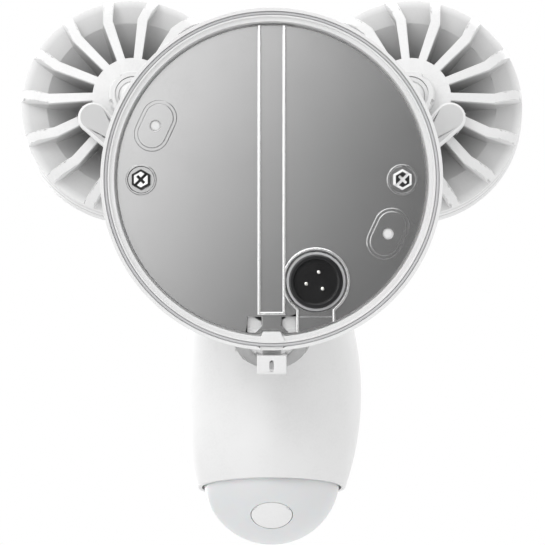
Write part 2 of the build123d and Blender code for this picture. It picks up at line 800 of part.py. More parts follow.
# knurled rings that screw each arm's foot to its shoulder
with BuildPart() as arm_rings:
    for ball in all_balls:
        with BuildSketch(foot_plane(ball, pod_rise)):
            Circle(arm_radius + 3.2)
            with PolarLocations(arm_radius + 3.2, 12):
                Circle(0.55, mode=Mode.SUBTRACT)
            Circle(arm_radius + touch_gap / 3, mode=Mode.SUBTRACT)
        extrude(amount=ring_height)
arm_rings.part.label = "arm_rings"
export_step(arm_rings.part, "parts/arm_rings.step")


# ============================================ ball cups and notched lock rings
def cup_profile():
    """Half section of the spherical cup: local x radial, y forwards."""
    rear = -(ball_radius * 0.43)
    inner_r = sqrt(cup_radius**2 - rear**2)
    outer_r = sqrt(cup_outer**2 - rear**2)
    hole = 3.0
    inner_y = sqrt(cup_radius**2 - hole**2)
    outer_y = sqrt(cup_outer**2 - hole**2)
    with BuildLine() as outline:
        ThreePointArc((inner_r, rear), (cup_radius, 0), (hole, inner_y))
        Line((hole, inner_y), (hole, outer_y))
        ThreePointArc((hole, outer_y), (cup_outer, 0), (outer_r, rear))
        Line((outer_r, rear), (inner_r, rear))
    make_face(outline.edges())


def section_plane(origin, x_dir, forwards):
    """Plane whose local x is radial and local y is the forward axis."""
    return Plane(origin=origin, x_dir=x_dir, z_dir=Vector(x_dir).cross(Vector(forwards)))


def collar_profile(outer):
    """Half section of a lock ring that keeps the cup in its socket."""
    rear = -collar_rear
    front = hub_rear - turn_gap
    inner_rear = sqrt(socket_radius**2 - rear**2)
    inner_front = sqrt(socket_radius**2 - front**2)
    with BuildLine() as outline:
        Line((inner_rear, rear), (outer - 0.6, rear))
        Line((outer - 0.6, rear), (outer, rear + 0.6))
        Line((outer, rear + 0.6), (outer, front))
        Line((outer, front), (inner_front, front))
        ThreePointArc((inner_front, front), (socket_radius, 0), (inner_rear, rear))
    make_face(outline.edges())


lamp_pan = radians(lamp_out)
lamp_tilt = radians(lamp_down)
lamp_forwards = Vector(sin(lamp_pan) * cos(lamp_tilt), -cos(lamp_pan) * cos(lamp_tilt), -sin(lamp_tilt))
lamp_across = Vector(cos(lamp_pan), sin(lamp_pan), 0)
lamp_frame = Plane(origin=lamp_ball, x_dir=lamp_across, z_dir=lamp_forwards)
lamp_section = section_plane(lamp_ball, lamp_across, lamp_forwards)
lamp_axis = Axis(lamp_ball, lamp_forwards)
right_lamp = {}

with BuildPart() as ball_cup:
    with BuildSketch(section_plane(lamp_ball, Vector(1, 0, 0), Vector(0, -1, 0))):
        cup_profile()
    revolve(axis=Axis(lamp_ball, (0, -1, 0)))
right_lamp["ball_cup"] = ball_cup.part

with BuildPart() as lock_collar:
    with BuildSketch(lamp_section):
        collar_profile(collar_radius)
    revolve(axis=lamp_axis)
    with BuildSketch(lamp_frame.offset(-collar_rear)):
        with PolarLocations(collar_radius, collar_notches, start_angle=52):
            Rectangle(2 * notch_depth, notch_width)
    extrude(amount=3.2, mode=Mode.SUBTRACT)
right_lamp["lock_collar"] = lock_collar.part

# ======================================================== the lamp's heat sink
lever_dir = Vector(sqrt(0.5), sqrt(0.5), 0)
pivot_x = lever_end_x - lever_reach * lever_dir.X
pivot_y = lever_end_y - lever_reach * lever_dir.Y
bezel_screw_radius = 1.2
bezel_screw_circle = lamp_radius - bezel_wall / 2
with BuildPart() as heat_sink:
    tip_shift = (lamp_radius + 2 - fin_kink) * sin(radians(fin_swirl)) / cos(radians(fin_swirl))
    with BuildSketch(lamp_frame.offset(hub_rear)):
        with PolarLocations(0, fin_count, start_angle=fin_phase):
            Polygon(
                (hub_radius - 4, -fin_root_half),
                (fin_kink, -fin_kink_half),
                (lamp_radius + 2, tip_shift - fin_tip_half),
                (lamp_radius + 2, tip_shift + fin_tip_half),
                (fin_kink, fin_kink_half),
                (hub_radius - 4, fin_root_half),
                align=None,
            )
    extrude(amount=floor_hub - hub_rear)
    # fins end at this domed outline
    with BuildSketch(lamp_section):
        with BuildLine():
            Line((0, hub_rear), (hub_radius, hub_rear))
            Line((hub_radius, hub_rear), (fin_kink, crest_kink))
            ThreePointArc(
                (fin_kink, crest_kink),
                ((fin_kink + lamp_radius) / 2 + 1.6, (crest_kink + crest_rim) / 2 - 1.9),
                (lamp_radius, crest_rim),
            )
            Line((lamp_radius, crest_rim), (lamp_radius, floor_hub))
            Line((lamp_radius, floor_hub), (0, floor_hub))
            Line((0, floor_hub), (0, hub_rear))
        make_face()
    revolve(axis=lamp_axis, mode=Mode.INTERSECT)
    # hub, sloping pocket floor and rim in one turned body
    with BuildSketch(lamp_section):
        with BuildLine():
            Polyline(
                (0, hub_rear),
                (hub_radius, hub_rear),
                (hub_radius, floor_hub),
                (fin_kink + 1, floor_kink),
                (lamp_radius, floor_rim),
                (lamp_radius, sink_front),
                (0, sink_front),
                close=True,
            )
        make_face()
    revolve(axis=lamp_axis)
    # boss under the clamp lever
    with BuildSketch(lamp_frame.offset(lever_front + turn_gap)):
        with Locations((pivot_x, pivot_y)):
            Circle(4.4)
    extrude(amount=floor_hub - lever_front - turn_gap)
    # socket for the ball cup, with a passage for the lead
    with BuildSketch(lamp_section):
        with BuildLine():
            Line((0, hub_rear - 1), (0, socket_radius))
            ThreePointArc(
                (0, socket_radius),
                (socket_radius * sqrt(0.5), socket_radius * sqrt(0.5)),
                (sqrt(socket_radius**2 - (hub_rear - 1) ** 2), hub_rear - 1),
            )
            Line((sqrt(socket_radius**2 - (hub_rear - 1) ** 2), hub_rear - 1), (0, hub_rear - 1))
        make_face()
    revolve(axis=lamp_axis, mode=Mode.SUBTRACT)
    with BuildSketch(lamp_frame.offset(hub_rear)):
        Circle(3)
    extrude(amount=sink_front, mode=Mode.SUBTRACT)
    # front pocket for the board and reflector
    with BuildSketch(lamp_frame.offset(pocket_floor)):
        Circle(pocket_radius)
    extrude(amount=sink_front - pocket_floor, mode=Mode.SUBTRACT)
    with BuildSketch(lamp_frame.offset(pocket_floor)):
        with PolarLocations(bezel_screw_circle, 4, start_angle=45):
            Circle(bezel_screw_radius + pin_gap)
    extrude(amount=sink_front - pocket_floor, mode=Mode.SUBTRACT)
    with BuildSketch(lamp_frame.offset(lever_front)):
        with Locations((pivot_x, pivot_y)):
            Circle(lever_pin_radius + pin_gap)
    extrude(amount=10, mode=Mode.SUBTRACT)
right_lamp["heat_sink"] = heat_sink.part

# --------------------------------------------------------- clamp lever and pin
lever_length = lever_reach
with BuildPart() as clamp_lever:
    with BuildSketch(lamp_frame.offset(lever_rear)):
        with Locations((lever_end_x, lever_end_y)):
            Circle(lever_end_radius)
        with Locations((pivot_x, pivot_y)):
            Circle(lever_root_radius)
        side_x = lever_dir.Y
        side_y = -lever_dir.X
        with BuildLine():
            Polyline(
                (lever_end_x + side_x * lever_end_radius, lever_end_y + side_y * lever_end_radius),
                (lever_end_x - side_x * lever_end_radius, lever_end_y - side_y * lever_end_radius),
                (pivot_x - side_x * lever_root_radius, pivot_y - side_y * lever_root_radius),
                (pivot_x + side_x * lever_root_radius, pivot_y + side_y * lever_root_radius),
                close=True,
            )
        make_face()
    extrude(amount=lever_front - lever_rear)
    rear_face = clamp_lever.faces().sort_by(lamp_axis)[0]
    chamfer(rear_face.edges(), 1.2)
    with BuildSketch(lamp_frame.offset(lever_rear)):
        with Locations((pivot_x, pivot_y)):
            Circle(lever_pin_radius + pin_gap)
    extrude(amount=lever_front - lever_rear, mode=Mode.SUBTRACT)
right_lamp["clamp_lever"] = clamp_lever.part

with BuildPart() as lever_screw:
    with BuildSketch(lamp_frame.offset(lever_rear - turn_gap - 1.4)):
        with Locations((pivot_x, pivot_y)):
            Circle(3.4)
    extrude(amount=1.4)
    with BuildSketch(lamp_frame.offset(lever_rear - turn_gap)):
        with Locations((pivot_x, pivot_y)):
            Circle(lever_pin_radius)
    extrude(amount=lever_front - lever_rear + turn_gap + 9)
    with BuildSketch(lamp_frame.offset(lever_rear - turn_gap - 1.4)):
        with Locations((pivot_x, pivot_y)):
            Rectangle(4, 0.9, rotation=20)
            Rectangle(4, 0.9, rotation=110)
    extrude(amount=0.9, mode=Mode.SUBTRACT)
right_lamp["lever_screw"] = lever_screw.part

# ---------------------------------------------------------- light source
led_ring_radii = (7.0, 14.5)
with BuildPart() as led_board:
    with BuildSketch(lamp_frame.offset(pocket_floor)):
        Circle(lamp_board_radius)
        Circle(3, mode=Mode.SUBTRACT)
        with PolarLocations(lamp_board_radius - 3, 3, start_angle=20):
            Circle(1.2, mode=Mode.SUBTRACT)
    extrude(amount=board_thickness)
right_lamp["led_board"] = led_board.part

with BuildPart() as led_chips:
    with BuildSketch(lamp_frame.offset(pocket_floor + board_thickness)):
        for ring, radius in enumerate(led_ring_radii):
            with PolarLocations(radius, 6 * (ring + 1)):
                RectangleRounded(3, 3, 0.4)
    extrude(amount=0.8)
right_lamp["led_chips"] = led_chips.part

reflector_base = pocket_floor + board_thickness
cover_back = bezel_front - 1.8 - cover_thickness
reflector_top = cover_back - 0.1
mirror_outer = lamp_radius - bezel_wall - 0.6
with BuildPart() as reflector:
    with BuildSketch(lamp_section):
        with BuildLine():
            Polyline(
                (17.4, reflector_base),
                (21.5, reflector_base),
                (34.5, reflector_base + 2.4),
                (mirror_outer, reflector_top - 1.6),
                (mirror_outer, reflector_top),
                (mirror_outer - 1.4, reflector_top),
                (34.0, reflector_base + 3.9),
                (20.5, reflector_base + 1.3),
                (17.4, reflector_base + 1.3),
                close=True,
            )
        make_face()
    revolve(axis=lamp_axis)
right_lamp["reflector"] = reflector.part

with BuildPart() as cover_gasket:
    with BuildSketch(lamp_frame.offset(sink_front)):
        Circle(lamp_radius - 0.4)
        Circle(lamp_radius - bezel_wall + 0.1, mode=Mode.SUBTRACT)
        with PolarLocations(bezel_screw_circle, 4, start_angle=45):
            Circle(bezel_screw_radius + pin_gap, mode=Mode.SUBTRACT)
    extrude(amount=gasket_thickness)
right_lamp["cover_gasket"] = cover_gasket.part

bezel_back = sink_front + gasket_thickness
bezel_inner = lamp_radius - bezel_wall
bezel_lip_radius = lamp_radius - bezel_lip
lip_back = bezel_front - 1.8
with BuildPart() as lamp_bezel:
    with BuildSketch(lamp_section):
        with BuildLine():
            Line((bezel_inner, bezel_back), (lamp_radius, bezel_back))
            Line((lamp_radius, bezel_back), (lamp_radius, bezel_front - 2.5))
            RadiusArc((lamp_radius, bezel_front - 2.5), (lamp_radius - 2.5, bezel_front), -2.5)
            Line((lamp_radius - 2.5, bezel_front), (bezel_lip_radius, bezel_front))
            Line((bezel_lip_radius, bezel_front), (bezel_lip_radius, lip_back))
            Line((bezel_lip_radius, lip_back), (bezel_inner, lip_back))
            Line((bezel_inner, lip_back), (bezel_inner, bezel_back))
        make_face()
    revolve(axis=lamp_axis)
    with BuildSketch(lamp_frame.offset(bezel_back)):
        with PolarLocations(bezel_screw_circle, 4, start_angle=45):
            Circle(bezel_screw_radius + pin_gap)
    extrude(amount=bezel_front, mode=Mode.SUBTRACT)
    with BuildSketch(lamp_frame.offset(bezel_front - 1.6)):
        with PolarLocations(bezel_screw_circle, 4, start_angle=45):
            Circle(1.95)
    extrude(amount=3, mode=Mode.SUBTRACT)
right_lamp["lamp_bezel"] = lamp_bezel.part

with BuildPart() as lamp_cover:
    with BuildSketch(lamp_section):
        edge = bezel_inner - 0.2
        lens_edge = bezel_lip_radius - 0.4
        middle, drop = crown_middle(lens_edge, cover_crown)
        front = cover_back + cover_thickness - 0.05
        with BuildLine():
            Line((0, cover_back + cover_crown), (0, front + cover_crown))
            ThreePointArc(
                (0, front + cover_crown),
                (middle, front + cover_crown - drop),
                (lens_edge, front),
            )
            Line((lens_edge, front), (edge, front))
            Line((edge, front), (edge, cover_back))
            Line((edge, cover_back), (lens_edge, cover_back))
            ThreePointArc(
                (lens_edge, cover_back),
                (middle, cover_back + cover_crown - drop),
                (0, cover_back + cover_crown),
            )
        make_face()
    revolve(axis=lamp_axis)
right_lamp["lamp_cover"] = lamp_cover.part

with BuildPart() as bezel_screws:
    with BuildSketch(lamp_frame.offset(pocket_floor + 0.5)):
        with PolarLocations(bezel_screw_circle, 4, start_angle=45):
            Circle(bezel_screw_radius)
    extrude(amount=bezel_front - 1.6 - pocket_floor - 0.5)
    with BuildSketch(lamp_frame.offset(bezel_front - 1.6)):
        with PolarLocations(bezel_screw_circle, 4, start_angle=45):
            Circle(1.85)
    extrude(amount=1.4)
    with BuildSketch(lamp_frame.offset(bezel_front - 0.2)):
        with PolarLocations(bezel_screw_circle, 4, start_angle=45):
            Rectangle(2.2, 0.5)
            Rectangle(0.5, 2.2)
    extrude(amount=-0.8, mode=Mode.SUBTRACT)
right_lamp["bezel_screws"] = bezel_screws.part

for name, solid in right_lamp.items():
    with BuildPart() as right_piece:
        add(solid)
    right_piece.part.label = f"{name}_right"
    export_step(right_piece.part, f"parts/{name}_right.step")
    with BuildPart() as left_piece:
        mirror(solid, about=Plane.YZ)
    left_piece.part.label = f"{name}_left"
    export_step(left_piece.part, f"parts/{name}_left.step")

# ================================================================ the camera
camera_tilt = radians(camera_down)
camera_up = Vector(0, -sin(camera_tilt), cos(camera_tilt))
camera_forwards = Vector(0, -cos(camera_tilt), -sin(camera_tilt))
camera_frame = Plane(origin=camera_ball, x_dir=(1, 0, 0), z_dir=camera_up)


def camera_point(x, forwards, up):
    """Point in the camera's own frame, from the ball's centre."""
    return camera_ball + Vector(1, 0, 0) * x + camera_forwards * forwards + camera_up * up


def facing(forwards, up=0.0, x=0.0):
    """Plane across the camera's line of sight, normal to the front."""
    return Plane(origin=camera_point(x, forwards, up), x_dir=(1, 0, 0), z_dir=camera_forwards)


def level(up, forwards=barrel_offset):
    """Plane across the barrel at this height."""
    return Plane(origin=camera_point(0, forwards, up), x_dir=(1, 0, 0), z_dir=camera_up)


barrel_section = Plane(
    origin=camera_point(0, barrel_offset, 0), x_dir=(1, 0, 0), z_dir=Vector(1, 0, 0).cross(camera_up)
)
barrel_axis = Axis(camera_point(0, barrel_offset, 0), camera_up)

with BuildPart() as camera_cup:
    with BuildSketch(section_plane(camera_ball, Vector(1, 0, 0), Vector(0, -1, 0))):
        cup_profile()
    revolve(axis=Axis(camera_ball, (0, -1, 0)))
camera_cup.part.label = "camera_cup"
export_step(camera_cup.part, "parts/camera_cup.step")

camera_collar_radius = collar_radius + 1.4
with BuildPart() as camera_lock_ring:
    with BuildSketch(section_plane(camera_ball, Vector(1, 0, 0), camera_forwards)):
        collar_profile(camera_collar_radius)
    revolve(axis=Axis(camera_ball, camera_forwards))
    with BuildSketch(facing(-collar_rear)):
        with PolarLocations(camera_collar_radius, 6):
            Rectangle(2 * notch_depth, notch_width)
    extrude(amount=3.2, mode=Mode.SUBTRACT)
camera_lock_ring.part.label = "camera_lock_ring"
export_step(camera_lock_ring.part, "parts/camera_lock_ring.step")

# ------------------------------------------------------------- the camera shell
inner_foot = barrel_foot_radius - barrel_wall
inner_wide = barrel_radius - barrel_wall
inner_top = barrel_top_radius - barrel_wall
with BuildPart() as camera_shell:
    with BuildSketch(barrel_section):
        with BuildLine():
            ThreePointArc(
                (barrel_foot_radius, barrel_foot_z),
                (barrel_radius, barrel_wide_z),
                (barrel_top_radius, barrel_top_z),
            )
            Line((barrel_top_radius, barrel_top_z), (inner_top, barrel_top_z))
            ThreePointArc(
                (inner_top, barrel_top_z),
                (inner_wide, barrel_wide_z),
                (inner_foot, barrel_foot_z),
            )
            Line((inner_foot, barrel_foot_z), (barrel_foot_radius, barrel_foot_z))
        make_face()
    revolve(axis=barrel_axis)
    # block inside the back wall that holds the ball socket
    with BuildSketch(facing(-barrel_radius + barrel_offset)):
        Circle(recess_radius + 2)
    extrude(amount=barrel_radius - barrel_offset + socket_radius + 4)
    with BuildSketch(barrel_section):
        with BuildLine():
            ThreePointArc(
                (barrel_foot_radius, barrel_foot_z),
                (barrel_radius, barrel_wide_z),
                (barrel_top_radius, barrel_top_z),
            )
            Line((barrel_top_radius, barrel_top_z), (0, barrel_top_z))
            Line((0, barrel_top_z), (0, barrel_foot_z))
            Line((0, barrel_foot_z), (barrel_foot_radius, barrel_foot_z))
        make_face()
    revolve(axis=barrel_axis, mode=Mode.INTERSECT)
    # round recess at the back, then the socket
    with BuildSketch(facing(-barrel_radius)):
        Circle(recess_radius)
    extrude(amount=barrel_radius - recess_floor, mode=Mode.SUBTRACT)
    with BuildSketch(section_plane(camera_ball, Vector(1, 0, 0), camera_forwards)):
        with BuildLine():
            Line((0, hub_rear - 1), (0, socket_radius))
            ThreePointArc(
                (0, socket_radius),
                (socket_radius * sqrt(0.5), socket_radius * sqrt(0.5)),
                (sqrt(socket_radius**2 - (hub_rear - 1) ** 2), hub_rear - 1),
            )
            Line((sqrt(socket_radius**2 - (hub_rear - 1) ** 2), hub_rear - 1), (0, hub_rear - 1))
        make_face()
    revolve(axis=Axis(camera_ball, camera_forwards), mode=Mode.SUBTRACT)
    with BuildSketch(facing(0)):
        Circle(3)
    extrude(amount=socket_radius + 6, mode=Mode.SUBTRACT)
    # opening for the face plate
    face_centre_z = (face_top_z + face_foot_z) / 2
    face_height = face_top_z - face_foot_z
    with BuildSketch(facing(barrel_offset + face_back, face_centre_z)):
        SlotOverall(face_height + 2 * touch_gap, 2 * (face_half_width + touch_gap), rotation=90)
    extrude(amount=barrel_radius, mode=Mode.SUBTRACT)
camera_shell.part.label = "camera_shell"
export_step(camera_shell.part, "parts/camera_shell.step")

cap_fillet = 11.0
seam = barrel_top_z + 0.3
with BuildPart() as camera_cap:
    with BuildSketch(barrel_section):
        with BuildLine():
            Line((0, seam + 1.5), (0, cap_top_z))
            Line((0, cap_top_z), (barrel_top_radius - 0.4 - cap_fillet, cap_top_z))
            RadiusArc(
                (barrel_top_radius - 0.4 - cap_fillet, cap_top_z),
                (barrel_top_radius - 0.4, cap_top_z - cap_fillet),
                cap_fillet,
            )
            Line((barrel_top_radius - 0.4, cap_top_z - cap_fillet), (barrel_top_radius - 0.4, seam))
            Line((barrel_top_radius - 0.4, seam), (inner_top - 0.3, seam))
            Line((inner_top - 0.3, seam), (inner_top - 0.3, seam - 2.5))
            Line((inner_top - 0.3, seam - 2.5), (inner_top - 2.1, seam - 2.5))
            Line((inner_top - 2.1, seam - 2.5), (inner_top - 2.1, seam + 1.5))
            Line((inner_top - 2.1, seam + 1.5), (0, seam + 1.5))
        make_face()
    revolve(axis=barrel_axis)
    with BuildSketch(facing(barrel_offset + face_back - 0.2, face_centre_z)):
        SlotOverall(face_height + 2 * touch_gap, 2 * (face_half_width + touch_gap), rotation=90)
    extrude(amount=barrel_radius, mode=Mode.SUBTRACT)
    # notch in the skirt for the block that holds the ball socket
    with BuildSketch(level(seam - 3, barrel_offset / 2 - barrel_radius / 2)):
        Rectangle(2 * recess_radius + 5, barrel_radius + barrel_offset / 2)
    extrude(amount=3, mode=Mode.SUBTRACT)
camera_cap.part.label = "camera_cap"
export_step(camera_cap.part, "parts/camera_cap.step")

# ---------------------------------------------------------------- face plate
ir_circle = 16.6
ir_radius = 1.7
status_z = -27.0
status_radius = 1.4
slot_count = 5
slot_z = -42.0
with BuildPart() as camera_face:
    with BuildSketch(facing(barrel_offset + face_back, face_centre_z)):
        SlotOverall(face_height, 2 * face_half_width, rotation=90)
    extrude(amount=face_front - face_back)
    front_edges = camera_face.faces().sort_by(Axis(camera_ball, camera_forwards))[-1].edges()
    fillet(front_edges, 1.5)
    with BuildSketch(facing(barrel_offset + face_back, face_centre_z)):
        SlotOverall(face_height - 2 * face_wall, 2 * (face_half_width - face_wall), rotation=90)
    extrude(amount=face_front - face_back - face_wall, mode=Mode.SUBTRACT)
    with BuildSketch(facing(barrel_offset + face_back, lens_z)):
        Circle(lens_ring_radius + touch_gap)
        with PolarLocations(ir_circle, 6, start_angle=30):
            Circle(ir_radius + touch_gap)
    extrude(amount=barrel_radius, mode=Mode.SUBTRACT)
    with BuildSketch(facing(barrel_offset + face_back, status_z)):
        Circle(status_radius + touch_gap)
        with Locations((0, slot_z - status_z)):
            with GridLocations(1, 2.6, 1, slot_count):
                SlotOverall(16, 1.3)
    extrude(amount=barrel_radius, mode=Mode.SUBTRACT)
camera_face.part.label = "camera_face"
export_step(camera_face.part, "parts/camera_face.step")

# ------------------------------------------------------------------- the lens
window_front = barrel_offset + face_front + 0.6
lens_section = section_plane(camera_point(0, 0, lens_z), Vector(1, 0, 0), camera_forwards)
lens_axis = Axis(camera_point(0, 0, lens_z), camera_forwards)
with BuildPart() as lens_ring:
    with BuildSketch(lens_section):
        back = barrel_offset + face_front - 4
        with BuildLine():
            Polyline(
                (lens_glass_radius - 1, back),
                (lens_ring_radius, back),
                (lens_ring_radius, window_front + 0.5),
                (lens_ring_radius - 0.7, window_front + 1.1),
                (lens_glass_radius + 0.2, window_front + 0.1),
                (lens_glass_radius + 0.2, window_front - 1.3),
                (lens_glass_radius - 1, window_front - 1.3),
                close=True,
            )
        make_face()
    revolve(axis=lens_axis)
lens_ring.part.label = "lens_ring"
export_step(lens_ring.part, "parts/lens_ring.step")

with BuildPart() as lens_window:
    with BuildSketch(facing(window_front - 1.2, lens_z)):
        Circle(lens_glass_radius)
    extrude(amount=1.2)
lens_window.part.label = "lens_window"
export_step(lens_window.part, "parts/lens_window.step")

lens_front = window_front - 2.6
lens_rise = 3.2
lens_middle, lens_drop = crown_middle(5.6, lens_rise)
with BuildPart() as camera_lens:
    with BuildSketch(lens_section):
        with BuildLine():
            Line((0, lens_front - 17), (7.5, lens_front - 17))
            Line((7.5, lens_front - 17), (7.5, lens_front - 6))
            Line((7.5, lens_front - 6), (8.6, lens_front - 6))
            Line((8.6, lens_front - 6), (8.6, lens_front - 1.4))
            Line((8.6, lens_front - 1.4), (5.6, lens_front - lens_rise))
            ThreePointArc(
                (5.6, lens_front - lens_rise), (lens_middle, lens_front - lens_drop), (0, lens_front)
            )
            Line((0, lens_front), (0, lens_front - 17))
        make_face()
    revolve(axis=lens_axis)
camera_lens.part.label = "camera_lens"
export_step(camera_lens.part, "parts/camera_lens.step")

with BuildPart() as ir_leds:
    with BuildSketch(facing(barrel_offset + face_front - 5.5, lens_z)):
        with PolarLocations(ir_circle, 6, start_angle=30):
            Circle(ir_radius)
    extrude(amount=5.3)
    led_tips = ir_leds.edges().filter_by(GeomType.CIRCLE).group_by(lens_axis)[-1]
    fillet(led_tips, 0.8)
ir_leds.part.label = "ir_leds"
export_step(ir_leds.part, "parts/ir_leds.step")

with BuildPart() as status_light:
    with BuildSketch(facing(barrel_offset + face_front - 6, status_z)):
        Circle(status_radius)
    extrude(amount=6)
status_light.part.label = "status_light"
export_step(status_light.part, "parts/status_light.step")

# ------------------------------------------------------- boards and speaker
sensor_board_back = lens_front - 17 - board_thickness
with BuildPart() as sensor_board:
    with BuildSketch(facing(sensor_board_back, lens_z)):
        RectangleRounded(34, 30, 2)
        with GridLocations(28, 24, 2, 2):
            Circle(1.2, mode=Mode.SUBTRACT)
    extrude(amount=board_thickness)
sensor_board.part.label = "sensor_board"
export_step(sensor_board.part, "parts/sensor_board.step")

with BuildPart() as main_board:
    with BuildSketch(facing(34, -14)):
        RectangleRounded(52, 62, 3)
    extrude(amount=board_thickness)
    with BuildSketch(facing(34 + board_thickness, -14)):
        with Locations((0, 6)):
            Rectangle(14, 14)
        with Locations((-17, -4), (17, 10)):
            Rectangle(9, 7)
    extrude(amount=1.4)
main_board.part.label = "main_board"
export_step(main_board.part, "parts/main_board.step")

speaker_radius = 10.0
with BuildPart() as speaker:
    with BuildSketch(facing(barrel_offset + face_back - 1, slot_z)):
        Circle(speaker_radius)
    extrude(amount=4)
    with BuildSketch(facing(barrel_offset + face_back - 1, slot_z)):
        Circle(speaker_radius * 0.55)
    extrude(amount=-8)
    with BuildSketch(facing(barrel_offset + face_back + 3, slot_z)):
        Circle(speaker_radius - 1.5)
    extrude(amount=-1.2, taper=30, mode=Mode.SUBTRACT)
speaker.part.label = "speaker"
export_step(speaker.part, "parts/speaker.step")

# --------------------------------------------------- motion dome and its button
dome_centre = camera_point(0, barrel_offset, barrel_foot_z + dome_rise)
dome_section = Plane(origin=dome_centre, x_dir=(1, 0, 0), z_dir=Vector(1, 0, 0).cross(camera_up))
dome_axis = Axis(dome_centre, camera_up)
press = radians(button_angle)
button_out = camera_forwards * -cos(press) - camera_up * sin(press)
button_plane = Plane(origin=dome_centre, x_dir=(1, 0, 0), z_dir=button_out)
dome_inner = dome_radius - dome_wall
flange_top = 4.0
flange_radius = inner_foot + 0.8
with BuildPart() as sensor_dome:
    with BuildSketch(dome_section):
        with BuildLine():
            ThreePointArc(
                (0, -dome_radius),
                (dome_radius * sqrt(0.5), -dome_radius * sqrt(0.5)),
                (dome_radius, 0),
            )
            Line((dome_radius, 0), (dome_radius, flange_top - 1.5))
            Line((dome_radius, flange_top - 1.5), (flange_radius, flange_top - 1.5))
            Line((flange_radius, flange_top - 1.5), (flange_radius, flange_top))
            Line((flange_radius, flange_top), (dome_inner, flange_top))
            Line((dome_inner, flange_top), (dome_inner, 0))
            ThreePointArc(
                (dome_inner, 0),
                (dome_inner * sqrt(0.5), -dome_inner * sqrt(0.5)),
                (0, -dome_inner),
            )
            Line((0, -dome_inner), (0, -dome_radius))
        make_face()
    revolve(axis=dome_axis)
    with BuildSketch(button_plane.offset(dome_radius * 0.7)):
        Ellipse(button_half_width + turn_gap, button_half_height + turn_gap)
    extrude(amount=dome_radius, mode=Mode.SUBTRACT)
sensor_dome.part.label = "sensor_dome"
export_step(sensor_dome.part, "parts/sensor_dome.step")

with BuildPart() as sync_button:
    with BuildSketch(button_plane.offset(dome_radius * 0.7)):
        Ellipse(button_half_width, button_half_height)
    extrude(amount=dome_radius)
    with BuildSketch(dome_section):
        with BuildLine():
            ThreePointArc(
                (0, -dome_radius),
                (dome_radius * sqrt(0.5), -dome_radius * sqrt(0.5)),
                (dome_radius, 0),
            )
            Line((dome_radius, 0), (dome_radius - button_thickness, 0))
            ThreePointArc(
                (dome_radius - button_thickness, 0),
                ((dome_radius - button_thickness) * sqrt(0.5), -(dome_radius - button_thickness) * sqrt(0.5)),
                (0, -(dome_radius - button_thickness)),
            )
            Line((0, -(dome_radius - button_thickness)), (0, -dome_radius))
        make_face()
    revolve(axis=dome_axis, mode=Mode.INTERSECT)
sync_button.part.label = "sync_button"
export_step(sync_button.part, "parts/sync_button.step")

with BuildPart() as motion_sensors:
    with BuildSketch(level(barrel_foot_z + dome_rise + 0.5)):
        Circle(dome_inner - 4)
    extrude(amount=board_thickness)
    with BuildSketch(level(barrel_foot_z + dome_rise + 0.5)):
        with PolarLocations(14, 3, start_angle=-30):
            Circle(4.6)
    extrude(amount=-5)
motion_sensors.part.label = "motion_sensors"
export_step(motion_sensors.part, "parts/motion_sensors.step")
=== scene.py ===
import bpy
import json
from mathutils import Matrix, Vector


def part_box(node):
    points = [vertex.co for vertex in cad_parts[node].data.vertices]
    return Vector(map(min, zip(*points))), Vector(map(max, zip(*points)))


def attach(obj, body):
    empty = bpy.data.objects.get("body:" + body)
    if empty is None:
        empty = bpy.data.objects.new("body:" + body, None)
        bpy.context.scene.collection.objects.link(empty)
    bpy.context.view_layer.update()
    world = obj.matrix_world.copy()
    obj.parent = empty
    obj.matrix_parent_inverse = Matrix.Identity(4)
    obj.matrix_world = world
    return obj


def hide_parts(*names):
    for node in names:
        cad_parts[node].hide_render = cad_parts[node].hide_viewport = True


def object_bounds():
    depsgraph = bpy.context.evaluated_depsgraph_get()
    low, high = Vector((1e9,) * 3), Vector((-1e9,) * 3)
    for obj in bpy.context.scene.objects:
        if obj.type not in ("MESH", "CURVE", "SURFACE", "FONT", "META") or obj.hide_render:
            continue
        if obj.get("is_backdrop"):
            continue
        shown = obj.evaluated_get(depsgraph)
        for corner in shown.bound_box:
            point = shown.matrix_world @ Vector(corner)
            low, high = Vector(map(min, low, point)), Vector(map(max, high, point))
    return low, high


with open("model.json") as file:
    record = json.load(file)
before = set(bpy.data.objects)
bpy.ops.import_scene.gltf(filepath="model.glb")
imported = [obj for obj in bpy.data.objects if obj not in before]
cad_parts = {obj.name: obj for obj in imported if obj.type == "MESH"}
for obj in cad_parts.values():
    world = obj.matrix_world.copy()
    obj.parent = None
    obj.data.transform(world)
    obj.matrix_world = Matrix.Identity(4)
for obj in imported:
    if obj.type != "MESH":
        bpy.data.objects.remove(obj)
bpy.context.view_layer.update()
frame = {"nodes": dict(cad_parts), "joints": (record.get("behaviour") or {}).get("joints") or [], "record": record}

import json
import math

import bpy
from mathutils import Matrix, Vector

bl_info = {
    "name": "Floodlight Camera Looks",
    "version": (1, 0, 0),
    "blender": (4, 5, 0),
    "location": "3D Viewport > Sidebar > Floodlight",
    "description": "Finishes and fine pieces for a wall floodlight camera",
    "category": "Object",
}

